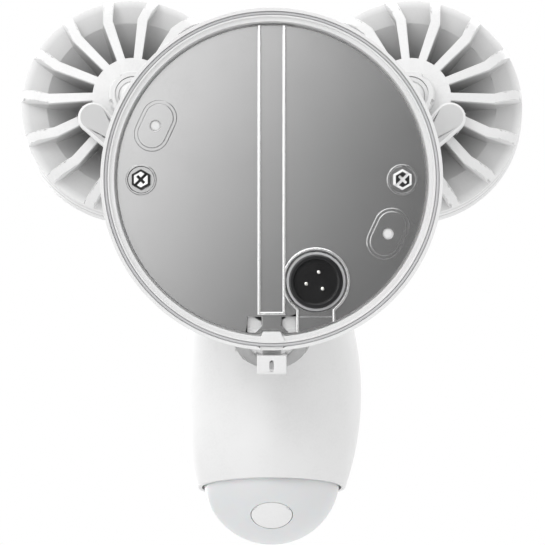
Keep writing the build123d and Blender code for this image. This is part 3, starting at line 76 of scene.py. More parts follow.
SIDES = ("right", "left")
MM = 0.001
LEVER_REAR = -5.0 * MM
SCREW_FLATS = 8.0 * MM
PAD_ANGLE = 24.9
LED_RINGS = ((7.0 * MM, 6), (14.5 * MM, 12))
PLATE_TOP = -10.3 * MM
PLATE_FLOOR = -11.0 * MM
CREST_START = 2.8 * MM
CREST_BENDS = ((18.7 * MM, 0.251), (38.6 * MM, 0.82))
CASTING_FRONT = 27.5 * MM
CASTING_OUTER = 56.0 * MM
VIEW_PLACE = (-0.35 * MM, 1.4, -40.9 * MM)
VIEW_LENS = 211.5
RUBBER_BLACK = (0.018, 0.018, 0.018, 1)
GLOSS_BLACK = (0.010, 0.010, 0.011, 1)
INFRARED_RED = (0.035, 0.006, 0.008, 1)
SILICONE = (0.90, 0.80, 0.42, 1)
joints = {joint["name"]: joint for joint in frame["joints"]}
bodies_of_nodes = {
    node: body for body, nodes in frame["record"]["behaviour"]["bodies"].items() for node in nodes
}
slots_of_nodes = {part["node"]: part["material_slot"] for part in frame["record"]["subparts"]}


# ------------------------------------------------------------------ settings
def colour(name, description, default):
    return bpy.props.FloatVectorProperty(
        name=name, description=description, default=default, size=4, min=0.0, max=1.0, subtype="COLOR"
    )


def length(name, description, default):
    return bpy.props.FloatProperty(
        name=name, description=description, default=default, min=0.0, unit="LENGTH", precision=5
    )


class FloodlightFinishes(bpy.types.PropertyGroup):
    """Colours of the mouldings, castings and fittings."""

    shell_white: colour("Shell white", "Moulded housing plastic", (0.82, 0.82, 0.82, 1.0))
    cast_white: colour("Casting white", "Powder coat on the lamp castings", (0.86, 0.86, 0.86, 1.0))
    plate_grey: colour("Plate grey", "Satin coating of the rear plate", (0.42, 0.42, 0.42, 1.0))
    # Painted highlight: colour of the plate's raised rib tops.
    rib_painted_highlight: colour("Rib painted highlight", "Painted highlight on the plate's raised ribs", (0.90, 0.90, 0.90, 1.0))
    button_white: colour("Button white", "Sync button under the camera", (0.86, 0.86, 0.86, 1.0))
    seal_grey: colour("Seal grey", "Soft ring gasket", (0.60, 0.60, 0.61, 1.0))
    lever_grey: colour("Lever grey", "Clamp levers", (0.62, 0.62, 0.62, 1.0))
    dome_white: colour("Dome white", "Milky motion dome", (0.74, 0.75, 0.76, 1.0))


class FloodlightSizes(bpy.types.PropertyGroup):
    """Edge rounding and detail sizes."""

    casting_edge: length("Casting edge", "Rounding along the cast fins", 0.00035)
    moulding_edge: length("Moulding edge", "Rounding along moulded edges", 0.0004)
    fitting_edge: length("Fitting edge", "Rounding along screws and small fittings", 0.0002)
    lever_edge: length("Lever edge", "Rounding of the clamp levers' rim", 0.0009)
    led_dome: length("LED dome", "Radius of each light source's lens", 0.0012)
    floor_drop: length("Floor drop", "Gap between the lowest point and the floor", 1.0)


# ------------------------------------------------------------- node utilities
def new_group(name, inputs, outputs):
    """Empty shader group with float inputs (name, default) and float outputs."""
    tree = bpy.data.node_groups.new(name, "ShaderNodeTree")
    for label, default in inputs:
        socket = tree.interface.new_socket(label, in_out="INPUT", socket_type="NodeSocketFloat")
        socket.default_value = default
    for label in outputs:
        tree.interface.new_socket(label, in_out="OUTPUT", socket_type="NodeSocketFloat")
    entry = tree.nodes.new("NodeGroupInput")
    leave = tree.nodes.new("NodeGroupOutput")
    return tree, entry, leave


def math_node(tree, operation, first, second, clamp=False):
    node = tree.nodes.new("ShaderNodeMath")
    node.operation = operation
    node.use_clamp = clamp
    for index, value in enumerate((first, second)):
        if isinstance(value, bpy.types.NodeSocket):
            tree.links.new(value, node.inputs[index])
        else:
            node.inputs[index].default_value = value
    return node.outputs[0]


def map_range(tree, value, source, target=(0.0, 1.0)):
    """Value carried from the source range to the target range, clamped."""
    node = tree.nodes.new("ShaderNodeMapRange")
    tree.links.new(value, node.inputs["Value"])
    labels = ("From Min", "From Max", "To Min", "To Max")
    for label, number in zip(labels, (*source, *target)):
        node.inputs[label].default_value = number
    return node.outputs["Result"]


def split_axes(tree, vector):
    node = tree.nodes.new("ShaderNodeSeparateXYZ")
    tree.links.new(vector, node.inputs["Vector"])
    return node.outputs["X"], node.outputs["Y"], node.outputs["Z"]


def noise_node(tree, vector, scale, detail=2.0, roughness=0.5):
    node = tree.nodes.new("ShaderNodeTexNoise")
    tree.links.new(vector, node.inputs["Vector"])
    if isinstance(scale, bpy.types.NodeSocket):
        tree.links.new(scale, node.inputs["Scale"])
    else:
        node.inputs["Scale"].default_value = scale
    node.inputs["Detail"].default_value = detail
    node.inputs["Roughness"].default_value = roughness
    return node.outputs["Fac"]


def object_vector(tree):
    return tree.nodes.new("ShaderNodeTexCoord").outputs["Object"]


def build_grain_group():
    """Fine mould or powder grain, with a broad unevenness beside it."""
    tree, entry, leave = new_group(
        "Fine Grain", [("Grain per metre", 2500.0), ("Patch per metre", 30.0)], ["Height", "Patches"]
    )
    where = object_vector(tree)
    grain = noise_node(tree, where, entry.outputs["Grain per metre"], 3.0, 0.6)
    patch = noise_node(tree, where, entry.outputs["Patch per metre"], 3.0, 0.55)
    tree.links.new(grain, leave.inputs["Height"])
    tree.links.new(patch, leave.inputs["Patches"])
    return tree


def build_dust_group():
    """Faint settled dust and finger marks: 1 where they lie."""
    tree, entry, leave = new_group(
        "Handling Marks", [("Marks per metre", 60.0), ("Amount", 0.3)], ["Marks"]
    )
    where = object_vector(tree)
    broad = noise_node(tree, where, entry.outputs["Marks per metre"], 4.0, 0.65)
    fine = noise_node(tree, where, 900.0, 2.0, 0.5)
    mixed = math_node(tree, "MULTIPLY", broad, fine)
    lifted = math_node(tree, "SUBTRACT", mixed, 0.22, clamp=True)
    strong = math_node(tree, "MULTIPLY", lifted, 5.0, clamp=True)
    tree.links.new(math_node(tree, "MULTIPLY", strong, entry.outputs["Amount"]), leave.inputs["Marks"])
    return tree


def build_brushed_group():
    """Fine lines along the object's Z axis, as rolling or brushing leaves."""
    tree, entry, leave = new_group("Brushed Lines", [("Lines per metre", 4000.0)], ["Height"])
    mapping = tree.nodes.new("ShaderNodeMapping")
    mapping.inputs["Scale"].default_value = (1.0, 1.0, 0.02)
    tree.links.new(object_vector(tree), mapping.inputs["Vector"])
    lines = noise_node(tree, mapping.outputs["Vector"], entry.outputs["Lines per metre"], 2.0, 0.6)
    tree.links.new(lines, leave.inputs["Height"])
    return tree


class Finish:
    """One material under construction, with the object's common effects."""

    def __init__(self, name):
        self.material = bpy.data.materials.new(name)
        self.material.use_nodes = True
        self.tree = self.material.node_tree
        self.shader = self.tree.nodes["Principled BSDF"]

    def set(self, **values):
        for label, value in values.items():
            self.shader.inputs[label.replace("_", " ")].default_value = value
        return self

    def place(self, group, **values):
        node = self.tree.nodes.new("ShaderNodeGroup")
        node.node_tree = group
        for label, value in values.items():
            node.inputs[label.replace("_", " ")].default_value = value
        return node

    def colours(self, factor, first, second):
        mix = self.tree.nodes.new("ShaderNodeMix")
        mix.data_type = "RGBA"
        self.tree.links.new(factor, mix.inputs["Factor"])
        for index, value in ((6, first), (7, second)):
            if isinstance(value, bpy.types.NodeSocket):
                self.tree.links.new(value, mix.inputs[index])
            else:
                mix.inputs[index].default_value = value
        return mix.outputs[2]

    def spread(self, factor, low, high):
        return map_range(self.tree, factor, (0.0, 1.0), (low, high))

    def lamp_place(self, side):
        """Place in the lamp's own frame, whose Z runs forwards from the ball."""
        matrix = lamp_basis(side)
        turn = self.tree.nodes.new("ShaderNodeMapping")
        turn.vector_type = "TEXTURE"
        turn.inputs["Location"].default_value = matrix.to_translation()
        turn.inputs["Rotation"].default_value = matrix.to_euler()
        self.tree.links.new(object_vector(self.tree), turn.inputs["Vector"])
        return turn.outputs["Vector"]

    def bump(self, height, strength, distance):
        node = self.tree.nodes.new("ShaderNodeBump")
        node.inputs["Strength"].default_value = strength
        node.inputs["Distance"].default_value = distance
        self.tree.links.new(height, node.inputs["Height"])
        self.tree.links.new(node.outputs["Normal"], self.shader.inputs["Normal"])

    def link(self, socket, label):
        self.tree.links.new(socket, self.shader.inputs[label])


def toned(value, factor):
    return (value[0] * factor, value[1] * factor, value[2] * factor, 1.0)


def coated(name, groups, base, grain, depth, rough, marks=0.25, tone=0.94):
    """Moulded plastic or coating: grain, uneven gloss and faint marks."""
    finish = Finish(name)
    grain_node = finish.place(groups["grain"], Grain_per_metre=grain)
    dust_node = finish.place(groups["dust"], Amount=marks)
    uneven = finish.colours(grain_node.outputs["Patches"], tuple(base), toned(base, tone))
    finish.link(finish.colours(dust_node.outputs["Marks"], uneven, toned(base, 0.86)), "Base Color")
    finish.link(finish.spread(grain_node.outputs["Patches"], *rough), "Roughness")
    finish.bump(grain_node.outputs["Height"], 0.35, depth)
    return finish


def plated(name, groups, base, rough, lines=4000.0):
    """Bright metal with fine lines."""
    finish = Finish(name).set(Metallic=1.0)
    line_node = finish.place(groups["brushed"], Lines_per_metre=lines)
    grain_node = finish.place(groups["grain"], Grain_per_metre=1500.0, Patch_per_metre=120.0)
    finish.link(finish.colours(grain_node.outputs["Patches"], tuple(base), toned(base, 0.8)), "Base Color")
    finish.link(finish.spread(grain_node.outputs["Patches"], *rough), "Roughness")
    finish.bump(line_node.outputs["Height"], 0.2, 0.00004)
    return finish


def build_plate_finish(groups, settings):
    """Satin plate whose raised ribs and boss rims carry a painted highlight, near white."""
    finish = Finish("plate_satin").set(Metallic=0.85)
    tree = finish.tree
    grain_node = finish.place(groups["grain"], Grain_per_metre=3500.0, Patch_per_metre=18.0)
    dust_node = finish.place(groups["dust"], Amount=0.3, Marks_per_metre=45.0)
    _, depth, _ = split_axes(tree, object_vector(tree))
    # Painted highlight mask: 1 on the raised tops of ribs and boss rims.
    painted_rib_highlight = map_range(tree, depth, (PLATE_FLOOR, PLATE_TOP))
    grey = finish.colours(grain_node.outputs["Patches"], tuple(settings.plate_grey),
                          toned(settings.plate_grey, 0.93))
    marked = finish.colours(dust_node.outputs["Marks"], grey, toned(settings.plate_grey, 0.8))
    finish.link(finish.colours(painted_rib_highlight, marked, tuple(settings.rib_painted_highlight)), "Base Color")
    finish.link(finish.spread(grain_node.outputs["Patches"], 0.145, 0.175), "Roughness")
    finish.bump(grain_node.outputs["Height"], 0.06, 0.00001)
    return finish


def build_recess_group():
    """Painted shade mask: 1 deep between the fins of a lamp casting, most near the hub, 0 along their crests."""
    tree = bpy.data.node_groups.new("Fin Painted Shade", "ShaderNodeTree")
    socket = tree.interface.new_socket("Local place", in_out="INPUT", socket_type="NodeSocketVector")
    socket.default_value = (0.0, 0.0, 0.0)
    depth = tree.interface.new_socket("Shade depth", in_out="INPUT", socket_type="NodeSocketFloat")
    depth.default_value = 0.0028
    tree.interface.new_socket("Painted Shade", in_out="OUTPUT", socket_type="NodeSocketFloat")
    entry = tree.nodes.new("NodeGroupInput")
    leave = tree.nodes.new("NodeGroupOutput")
    x, y, z = split_axes(tree, entry.outputs["Local place"])
    squares = [math_node(tree, "MULTIPLY", side, side) for side in (x, y)]
    radius = math_node(tree, "SQRT", math_node(tree, "ADD", *squares), 0.0)
    rises = []
    for start, slope in CREST_BENDS:
        past = math_node(tree, "SUBTRACT", radius, start)
        rises.append(math_node(tree, "MAXIMUM", math_node(tree, "MULTIPLY", past, slope), 0.0))
    crest = math_node(tree, "ADD", math_node(tree, "ADD", *rises), CREST_START)
    below = math_node(tree, "SUBTRACT", z, crest)
    shade = math_node(tree, "DIVIDE", below, entry.outputs["Shade depth"], clamp=True)
    front = math_node(tree, "MULTIPLY", math_node(tree, "SUBTRACT", CASTING_FRONT, z), 300.0, clamp=True)
    inside = math_node(tree, "SUBTRACT", CASTING_OUTER, radius)
    near_hub = math_node(tree, "MULTIPLY", inside, 25.0, clamp=True)
    # Painted shade: full strength near the hub, a quarter of it at the outer rim.
    strength = math_node(tree, "ADD", 0.25, math_node(tree, "MULTIPLY", near_hub, 0.75))
    painted_shade_level = math_node(tree, "MULTIPLY", shade, strength)
    tree.links.new(math_node(tree, "MULTIPLY", painted_shade_level, front), leave.inputs["Painted Shade"])
    return tree


def build_casting_finish(groups, settings, side):
    """Powder coat with painted shade: greyer deep between the fins, most near the hub."""
    finish = Finish(f"powder_coat_{side}")
    recess = finish.place(groups["recess"])
    finish.tree.links.new(finish.lamp_place(side), recess.inputs["Local place"])
    grain_node = finish.place(groups["grain"], Grain_per_metre=1500.0)
    dust_node = finish.place(groups["dust"], Amount=0.3)
    white = settings.cast_white
    crest = finish.colours(grain_node.outputs["Patches"], tuple(white), toned(white, 0.95))
    marked = finish.colours(dust_node.outputs["Marks"], crest, toned(white, 0.86))
    # Painted shade: casting white darkened to 0.36 deep between the fins.
    finish.link(finish.colours(recess.outputs["Painted Shade"], marked, toned(white, 0.36)), "Base Color")
    finish.link(finish.spread(grain_node.outputs["Patches"], 0.40, 0.52), "Roughness")
    finish.bump(grain_node.outputs["Height"], 0.35, 0.00008)
    return finish


def build_lever_finish(groups, settings, side):
    """Grey face whose rounded rim is painted white as a painted highlight."""
    finish = Finish(f"lever_satin_{side}")
    _, _, forwards = split_axes(finish.tree, finish.lamp_place(side))
    # Painted highlight: everything forward of the lever's rear face painted white.
    below = map_range(finish.tree, forwards, (LEVER_REAR + 0.08 * MM, LEVER_REAR + 0.22 * MM))
    grain_node = finish.place(groups["grain"], Grain_per_metre=2200.0)
    grey = finish.colours(grain_node.outputs["Patches"], tuple(settings.lever_grey),
                          toned(settings.lever_grey, 0.92))
    finish.link(finish.colours(below, grey, tuple(settings.cast_white)), "Base Color")
    finish.link(finish.spread(grain_node.outputs["Patches"], 0.38, 0.50), "Roughness")
    finish.bump(grain_node.outputs["Height"], 0.35, 0.00005)
    return finish


def build_screw_finish(groups):
    """Hexagon heads with painted reflection and shade: one painted bright with painted dark shadow along its edges
    and slot, the other the reverse.
    """
    finish = Finish("screw_heads").set(Metallic=0.5)
    tree = finish.tree
    x, y, z = split_axes(tree, object_vector(tree))
    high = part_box("hex_screws")[1]
    centre = high.x - SCREW_FLATS / 2
    sideways = math_node(tree, "SUBTRACT", math_node(tree, "ABSOLUTE", x, 0.0), centre)
    rise = math_node(tree, "MULTIPLY", z, math.sin(math.radians(60)))
    run = math_node(tree, "MULTIPLY", sideways, 0.5)
    slants = [math_node(tree, operation, run, rise) for operation in ("ADD", "SUBTRACT")]
    flats = [math_node(tree, "ABSOLUTE", socket, 0.0) for socket in (sideways, *slants)]
    reach = math_node(tree, "MAXIMUM", math_node(tree, "MAXIMUM", flats[0], flats[1]), flats[2])
    # Painted shadow along the head's edges and in its slot.
    painted_edge_shadow = math_node(tree, "GREATER_THAN", reach, SCREW_FLATS / 2 - 1.0 * MM)
    painted_slot_shadow = math_node(tree, "LESS_THAN", y, high.y - 0.3 * MM)
    marked = math_node(tree, "MAXIMUM", painted_edge_shadow, painted_slot_shadow)
    # Painted reflection: the far screw's painted light and dark are swapped.
    reversed_reflection_side = math_node(tree, "LESS_THAN", x, 0.0)
    painted_reflection_mask = math_node(tree, "ABSOLUTE", math_node(tree, "SUBTRACT", marked, reversed_reflection_side), 0.0)
    grain_node = finish.place(groups["grain"], Grain_per_metre=1800.0, Patch_per_metre=260.0)
    # Painted highlight and painted shadow tones of the heads.
    painted_highlight_tone = finish.colours(grain_node.outputs["Patches"], (0.92, 0.92, 0.92, 1), (0.72, 0.72, 0.72, 1))
    painted_shadow_tone = finish.colours(grain_node.outputs["Patches"], (0.006, 0.006, 0.006, 1), (0.02, 0.02, 0.02, 1))
    finish.link(finish.colours(painted_reflection_mask, painted_highlight_tone, painted_shadow_tone), "Base Color")
    finish.link(finish.spread(grain_node.outputs["Patches"], 0.32, 0.45), "Roughness")
    finish.bump(grain_node.outputs["Height"], 0.2, 0.00002)
    return finish


def build_board_finish(groups):
    """Solder mask with copper runs under it."""
    finish = Finish("board_green").set(Coat_Weight=0.4, Coat_Roughness=0.2)
    tree = finish.tree
    bricks = tree.nodes.new("ShaderNodeTexBrick")
    mapping = tree.nodes.new("ShaderNodeMapping")
    mapping.inputs["Rotation"].default_value = (math.radians(90), 0.0, 0.0)
    tree.links.new(object_vector(tree), mapping.inputs["Vector"])
    tree.links.new(mapping.outputs["Vector"], bricks.inputs["Vector"])
    for label, value in (
        ("Scale", 420.0), ("Mortar Size", 0.06), ("Mortar Smooth", 0.2), ("Brick Width", 1.3),
        ("Row Height", 0.4),
    ):
        bricks.inputs[label].default_value = value
    bricks.inputs["Color1"].default_value = (0.012, 0.10, 0.045, 1.0)
    bricks.inputs["Color2"].default_value = (0.010, 0.085, 0.04, 1.0)
    bricks.inputs["Mortar"].default_value = (0.03, 0.20, 0.08, 1.0)
    grain_node = finish.place(groups["grain"], Grain_per_metre=3000.0)
    finish.link(bricks.outputs["Color"], "Base Color")
    finish.link(finish.spread(grain_node.outputs["Patches"], 0.3, 0.5), "Roughness")
    finish.bump(bricks.outputs["Fac"], 0.3, 0.00003)
    return finish


def build_cover_finish(groups):
    """Frosted lamp cover with a field of small pyramids pressed into it."""
    finish = Finish("frosted_cover").set(IOR=1.49, Transmission_Weight=0.86)
    tree = finish.tree
    cells = tree.nodes.new("ShaderNodeTexVoronoi")
    cells.inputs["Scale"].default_value = 420.0
    cells.inputs["Randomness"].default_value = 0.15
    tree.links.new(object_vector(tree), cells.inputs["Vector"])
    grain_node = finish.place(groups["grain"], Grain_per_metre=4000.0)
    finish.link(finish.colours(grain_node.outputs["Patches"], (0.88, 0.89, 0.90, 1.0),
                               (0.82, 0.83, 0.85, 1.0)), "Base Color")
    finish.link(finish.spread(grain_node.outputs["Patches"], 0.16, 0.22), "Roughness")
    finish.bump(cells.outputs["Distance"], 0.5, 0.0004)
    return finish


def build_dome_finish(groups, settings):
    """Milky dome with the faint facets of its lens segments."""
    finish = Finish("milky_dome").set(Subsurface_Weight=0.25, Subsurface_Scale=0.002)
    tree = finish.tree
    cells = tree.nodes.new("ShaderNodeTexVoronoi")
    cells.feature = "DISTANCE_TO_EDGE"
    cells.inputs["Scale"].default_value = 95.0
    cells.inputs["Randomness"].default_value = 0.25
    tree.links.new(object_vector(tree), cells.inputs["Vector"])
    edge = map_range(tree, cells.outputs["Distance"], (0.0, 0.06))
    grain_node = finish.place(groups["grain"], Grain_per_metre=2600.0)
    tinted = finish.colours(grain_node.outputs["Patches"], tuple(settings.dome_white),
                            toned(settings.dome_white, 0.95))
    finish.link(tinted, "Base Color")
    finish.link(finish.spread(grain_node.outputs["Patches"], 0.24, 0.34), "Roughness")
    finish.bump(edge, 0.15, 0.00005)
    return finish


def build_finishes():
    """All materials of the object, by the record's slot names and a few more."""
    colours = bpy.context.scene.floodlight_finishes
    groups = {
        "grain": build_grain_group(),
        "dust": build_dust_group(),
        "brushed": build_brushed_group(),
        "recess": build_recess_group(),
    }
    shell, cast = colours.shell_white, colours.cast_white
    finishes = {
        "white_shell": coated("shell_moulding", groups, shell, 2600.0, 0.00005, (0.34, 0.44)),
        "white_metal": coated("powder_coat", groups, cast, 1500.0, 0.00008, (0.40, 0.52), marks=0.35),
        "grey_plate": build_plate_finish(groups, colours),
        "soft_seal": coated("seal_rubber", groups, colours.seal_grey, 3200.0, 0.00008, (0.6, 0.8)),
        "black_rubber": coated("black_rubber", groups, RUBBER_BLACK, 3000.0, 0.00008, (0.55, 0.75)),
        "black_plastic": coated("black_gloss", groups, GLOSS_BLACK, 3000.0, 0.00001, (0.10, 0.22)),
        "steel": plated("plated_steel", groups, (0.62, 0.62, 0.62, 1), (0.22, 0.34)),
        "brass": plated("bright_pins", groups, (0.88, 0.87, 0.83, 1), (0.2, 0.3)),
        "board": build_board_finish(groups),
        "components": coated("component_black", groups, (0.03, 0.03, 0.032, 1), 2500.0, 0.00005, (0.4, 0.6)),
        "wire": coated("lead_sleeve", groups, (0.05, 0.05, 0.055, 1), 1500.0, 0.00004, (0.35, 0.5)),
        "led": coated("phosphor", groups, (0.85, 0.62, 0.10, 1), 4000.0, 0.00004, (0.3, 0.45), tone=0.8),
        "mirror": plated("reflector_metal", groups, (0.88, 0.88, 0.88, 1), (0.10, 0.18), 1200.0),
        "frosted": build_cover_finish(groups),
        "milky": build_dome_finish(groups, colours),
        "lever_grey": coated("lever_satin", groups, colours.lever_grey, 2200.0, 0.00005, (0.38, 0.5)),
    }
    for side in SIDES:
        finishes[f"casting_{side}"] = build_casting_finish(groups, colours, side)
        finishes[f"lever_{side}"] = build_lever_finish(groups, colours, side)
    finishes["screw"] = build_screw_finish(groups)
    finishes["ir_dome"] = coated("infrared_dome", groups, INFRARED_RED, 900.0, 0.00001, (0.04, 0.10))
    finishes["chip_lens"] = coated("silicone_lens", groups, SILICONE, 900.0, 0.00001, (0.06, 0.14))
    finishes["stop_white"] = coated("stop_moulding", groups, shell, 2600.0, 0.00005, (0.34, 0.44))
    finishes["button"] = coated("button_satin", groups, colours.button_white, 2200.0, 0.00004, (0.32, 0.42))
    glass = Finish("window_glass").set(Transmission_Weight=1.0, IOR=1.5, Base_Color=(0.94, 0.96, 0.97, 1))
    grain_node = glass.place(groups["grain"], Grain_per_metre=500.0, Patch_per_metre=80.0)
    glass.link(glass.spread(grain_node.outputs["Patches"], 0.0, 0.04), "Roughness")
    finishes["glass"] = glass
    coating = Finish("lens_coating").set(
        Coat_Weight=1.0, Coat_Roughness=0.03, Coat_Tint=(0.75, 0.80, 1.0, 1.0)
    )
    grain_node = coating.place(groups["grain"], Grain_per_metre=800.0, Patch_per_metre=140.0)
    tint = coating.colours(grain_node.outputs["Patches"], (0.03, 0.012, 0.06, 1), (0.008, 0.03, 0.05, 1))
    coating.link(tint, "Base Color")
    coating.link(coating.spread(grain_node.outputs["Patches"], 0.03, 0.08), "Roughness")
    finishes["coating"] = coating
    return {label: finish.material for label, finish in finishes.items()}


# ---------------------------------------------------------- modelling helpers
def deselect_all():
    for other in bpy.context.selected_objects:
        other.select_set(False)


def select_only(piece):
    deselect_all()
    piece.select_set(True)
    bpy.context.view_layer.objects.active = piece


def smooth(piece, degrees=35.0):
    select_only(piece)
    bpy.ops.object.shade_smooth_by_angle(angle=math.radians(degrees))


def bevel_piece(piece, width, segments=2, degrees=32.0):
    select_only(piece)
    modifier = piece.modifiers.new("Edge rounding", "BEVEL")
    modifier.width = width
    modifier.segments = segments
    modifier.limit_method = "ANGLE"
    modifier.angle_limit = math.radians(degrees)
    modifier.use_clamp_overlap = False
    modifier.harden_normals = True
    bpy.ops.object.modifier_apply(modifier=modifier.name)


def rounded_copy(node, width, segments=2, degrees=32.0, finish=None):
    """Copy of a CAD node with its sharp edges rounded, standing for that node."""
    mesh = frame["nodes"][node].data.copy()
    piece = bpy.data.objects.new(f"{node}_rounded", mesh)
    bpy.context.scene.collection.objects.link(piece)
    select_only(piece)
    bpy.ops.object.mode_set(mode="EDIT")
    bpy.ops.mesh.select_all(action="SELECT")
    bpy.ops.mesh.remove_doubles(threshold=0.000002)
    bpy.ops.object.mode_set(mode="OBJECT")
    if mesh.has_custom_normals:
        bpy.ops.mesh.customdata_custom_splitnormals_clear()
    smooth(piece)
    bevel_piece(piece, width, segments, degrees)
    piece.data.materials.clear()
    piece.data.materials.append(materials[finish or slots_of_nodes[node]])
    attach(piece, bodies_of_nodes[node])
    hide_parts(node)


def settle(piece, name, body, slot, finish=None):
    """Names a new piece, puts its place into its mesh and hangs it on a body."""
    select_only(piece)
    bpy.ops.object.transform_apply(location=True, rotation=True, scale=True)
    piece.name = name
    piece.data.name = name
    piece.data.materials.clear()
    piece.data.materials.append(materials[finish or slot])
    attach(piece, body)


def basis(origin, forwards, up_hint=(0.0, 0.0, 1.0)):
    """Matrix whose Z runs forwards, X to the +X side and Y up."""
    z = Vector(forwards).normalized()
    x = Vector(up_hint).cross(z).normalized()
    y = z.cross(x)
    matrix = Matrix((x, y, z)).transposed().to_4x4()
    matrix.translation = Vector(origin)
    return matrix


def lamp_basis(side):
    turn = joints[f"collar_turn_{side}"]
    sign = 1.0 if side == "right" else -1.0
    return basis(turn["pos_m"], Vector(turn["axis"]) * sign)


def camera_basis():
    turn = joints["camera_lock_turn"]
    return basis(turn["pos_m"], turn["axis"])


def local_box(node, matrix):
    """Lowest and highest corners of a CAD node in a turned frame."""
    inverse = matrix.inverted()
    places = [inverse @ vertex.co for vertex in frame["nodes"][node].data.vertices]
    return (
        Vector(min(place[axis] for place in places) for axis in range(3)),
        Vector(max(place[axis] for place in places) for axis in range(3)),
    )


def placed(matrix, x, y, z):
    """Keyword places of a primitive in a turned frame."""
    return {"location": matrix @ Vector((x, y, z)), "rotation": matrix.to_euler()}


def select_faces(piece, test):
    """Edit mode with only the faces chosen whose normal passes the test."""
    select_only(piece)
    bpy.ops.object.mode_set(mode="EDIT")
    bpy.ops.mesh.select_mode(type="FACE")
    bpy.ops.mesh.select_all(action="DESELECT")
    bpy.ops.object.mode_set(mode="OBJECT")
    for face in piece.data.polygons:
        face.select = test(face.normal)
    bpy.ops.object.mode_set(mode="EDIT")


def join_all(pieces):
    deselect_all()
    for piece in pieces:
        piece.select_set(True)
    bpy.context.view_layer.objects.active = pieces[0]
    bpy.ops.object.join()
    return pieces[0]


def copied(piece, matrix):
    """Copy of a finished piece with its own mesh, moved by a matrix."""
    twin = piece.copy()
    twin.data = piece.data.copy()
    bpy.context.scene.collection.objects.link(twin)
    twin.matrix_world = matrix @ piece.matrix_world
    return twin


def dome_piece(matrix, x, y, z, radius, height, segments=20):
    """Rounded cap: a sphere cut at its foot and pressed to the wanted height."""
    deselect_all()
    bpy.ops.mesh.primitive_uv_sphere_add(
        segments=segments, ring_count=12, radius=radius, **placed(matrix, x, y, z)
    )
    piece = bpy.context.active_object
    piece.scale = (1.0, 1.0, height / radius)
    bpy.ops.object.mode_set(mode="EDIT")
    bpy.ops.mesh.select_all(action="SELECT")
    normal = matrix.to_3x3() @ Vector((0.0, 0.0, -1.0))
    bpy.ops.mesh.bisect(
        plane_co=matrix @ Vector((x, y, z)), plane_no=normal, use_fill=True, clear_outer=True
    )
    bpy.ops.object.mode_set(mode="OBJECT")
    return piece


def ring_piece(matrix, x, y, z, radius, thickness, segments=48):
    deselect_all()
    bpy.ops.mesh.primitive_torus_add(
        major_radius=radius, minor_radius=thickness / 2, major_segments=segments, minor_segments=10,
        **placed(matrix, x, y, z),
    )
    return bpy.context.active_object


def polar(radius, count, start=0.0):
    """Places spread evenly on a circle, from a starting angle in degrees."""
    for step in range(count):
        turn = math.radians(start) + math.tau * step / count
        yield radius * math.cos(turn), radius * math.sin(turn)


materials = {}


# ------------------------------------------------------------------ operators
class FLOODLIGHT_OT_finishes(bpy.types.Operator):
    """Build every finish and give each CAD node the one of its slot"""

    bl_idname = "floodlight.finishes"
    bl_label = "Finishes"

    def execute(self, context):
        materials.update(build_finishes())
        for name, node in frame["nodes"].items():
            for material_slot in node.material_slots:
                material_slot.material = materials[slots_of_nodes[name]]
        return {"FINISHED"}


class FLOODLIGHT_OT_castings(bpy.types.Operator):
    """Round the edges of the finned lamp castings, collars and levers"""

    bl_idname = "floodlight.castings"
    bl_label = "Lamp castings"

    def execute(self, context):
        sizes = context.scene.floodlight_sizes
        for side in SIDES:
            rounded_copy(f"heat_sink_{side}", sizes.casting_edge, finish=f"casting_{side}")
            rounded_copy(f"lock_collar_{side}", sizes.fitting_edge)
            rounded_copy(f"clamp_lever_{side}", sizes.lever_edge, 4, 50.0, finish=f"lever_{side}")
            rounded_copy(f"lamp_bezel_{side}", sizes.fitting_edge)
        return {"FINISHED"}


class FLOODLIGHT_OT_mouldings(bpy.types.Operator):
    """Round the edges of the canopy, plate, latch and camera mouldings"""

    bl_idname = "floodlight.mouldings"
    bl_label = "Mouldings"

    def execute(self, context):
        sizes = context.scene.floodlight_sizes
        rounded_copy("release_latch", sizes.moulding_edge)
        rounded_copy("canopy_shell", sizes.fitting_edge)
        rounded_copy("rear_plate", sizes.fitting_edge)
        rounded_copy("sync_button", sizes.fitting_edge, finish="button")
        rounded_copy("hex_screws", sizes.fitting_edge, finish="screw")
        for node in ("camera_shell", "camera_cap", "camera_lock_ring", "power_inlet"):
            rounded_copy(node, sizes.fitting_edge)
        return {"FINISHED"}


class FLOODLIGHT_OT_gasket(bpy.types.Operator):
    """Make the soft ring gasket in the canopy's rim as a rounded bead"""

    bl_idname = "floodlight.gasket"
    bl_label = "Rim gasket"

    def execute(self, context):
        low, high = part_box("rim_gasket")
        outer = (high.x - low.x) / 2
        width = 1.4 * MM
        deselect_all()
        bpy.ops.mesh.primitive_torus_add(
            major_radius=outer - width / 2, minor_radius=width / 2, major_segments=160,
            minor_segments=16, location=(0.0, 0.0, 0.0), rotation=(math.radians(90), 0.0, 0.0),
        )
        bead = context.active_object
        select_only(bead)
        bpy.ops.object.transform_apply(location=True, rotation=True, scale=True)
        bpy.ops.object.mode_set(mode="EDIT")
        bpy.ops.mesh.select_all(action="SELECT")
        bpy.ops.transform.resize(value=(1.0, (high.y - low.y) / width, 1.0), center_override=(0, 0, 0))
        bpy.ops.transform.translate(value=(0.0, (high.y + low.y) / 2, 0.0))
        bpy.ops.object.mode_set(mode="OBJECT")
        smooth(bead)
        settle(bead, "rim_gasket_bead", bodies_of_nodes["rim_gasket"], "soft_seal")
        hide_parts("rim_gasket")
        return {"FINISHED"}


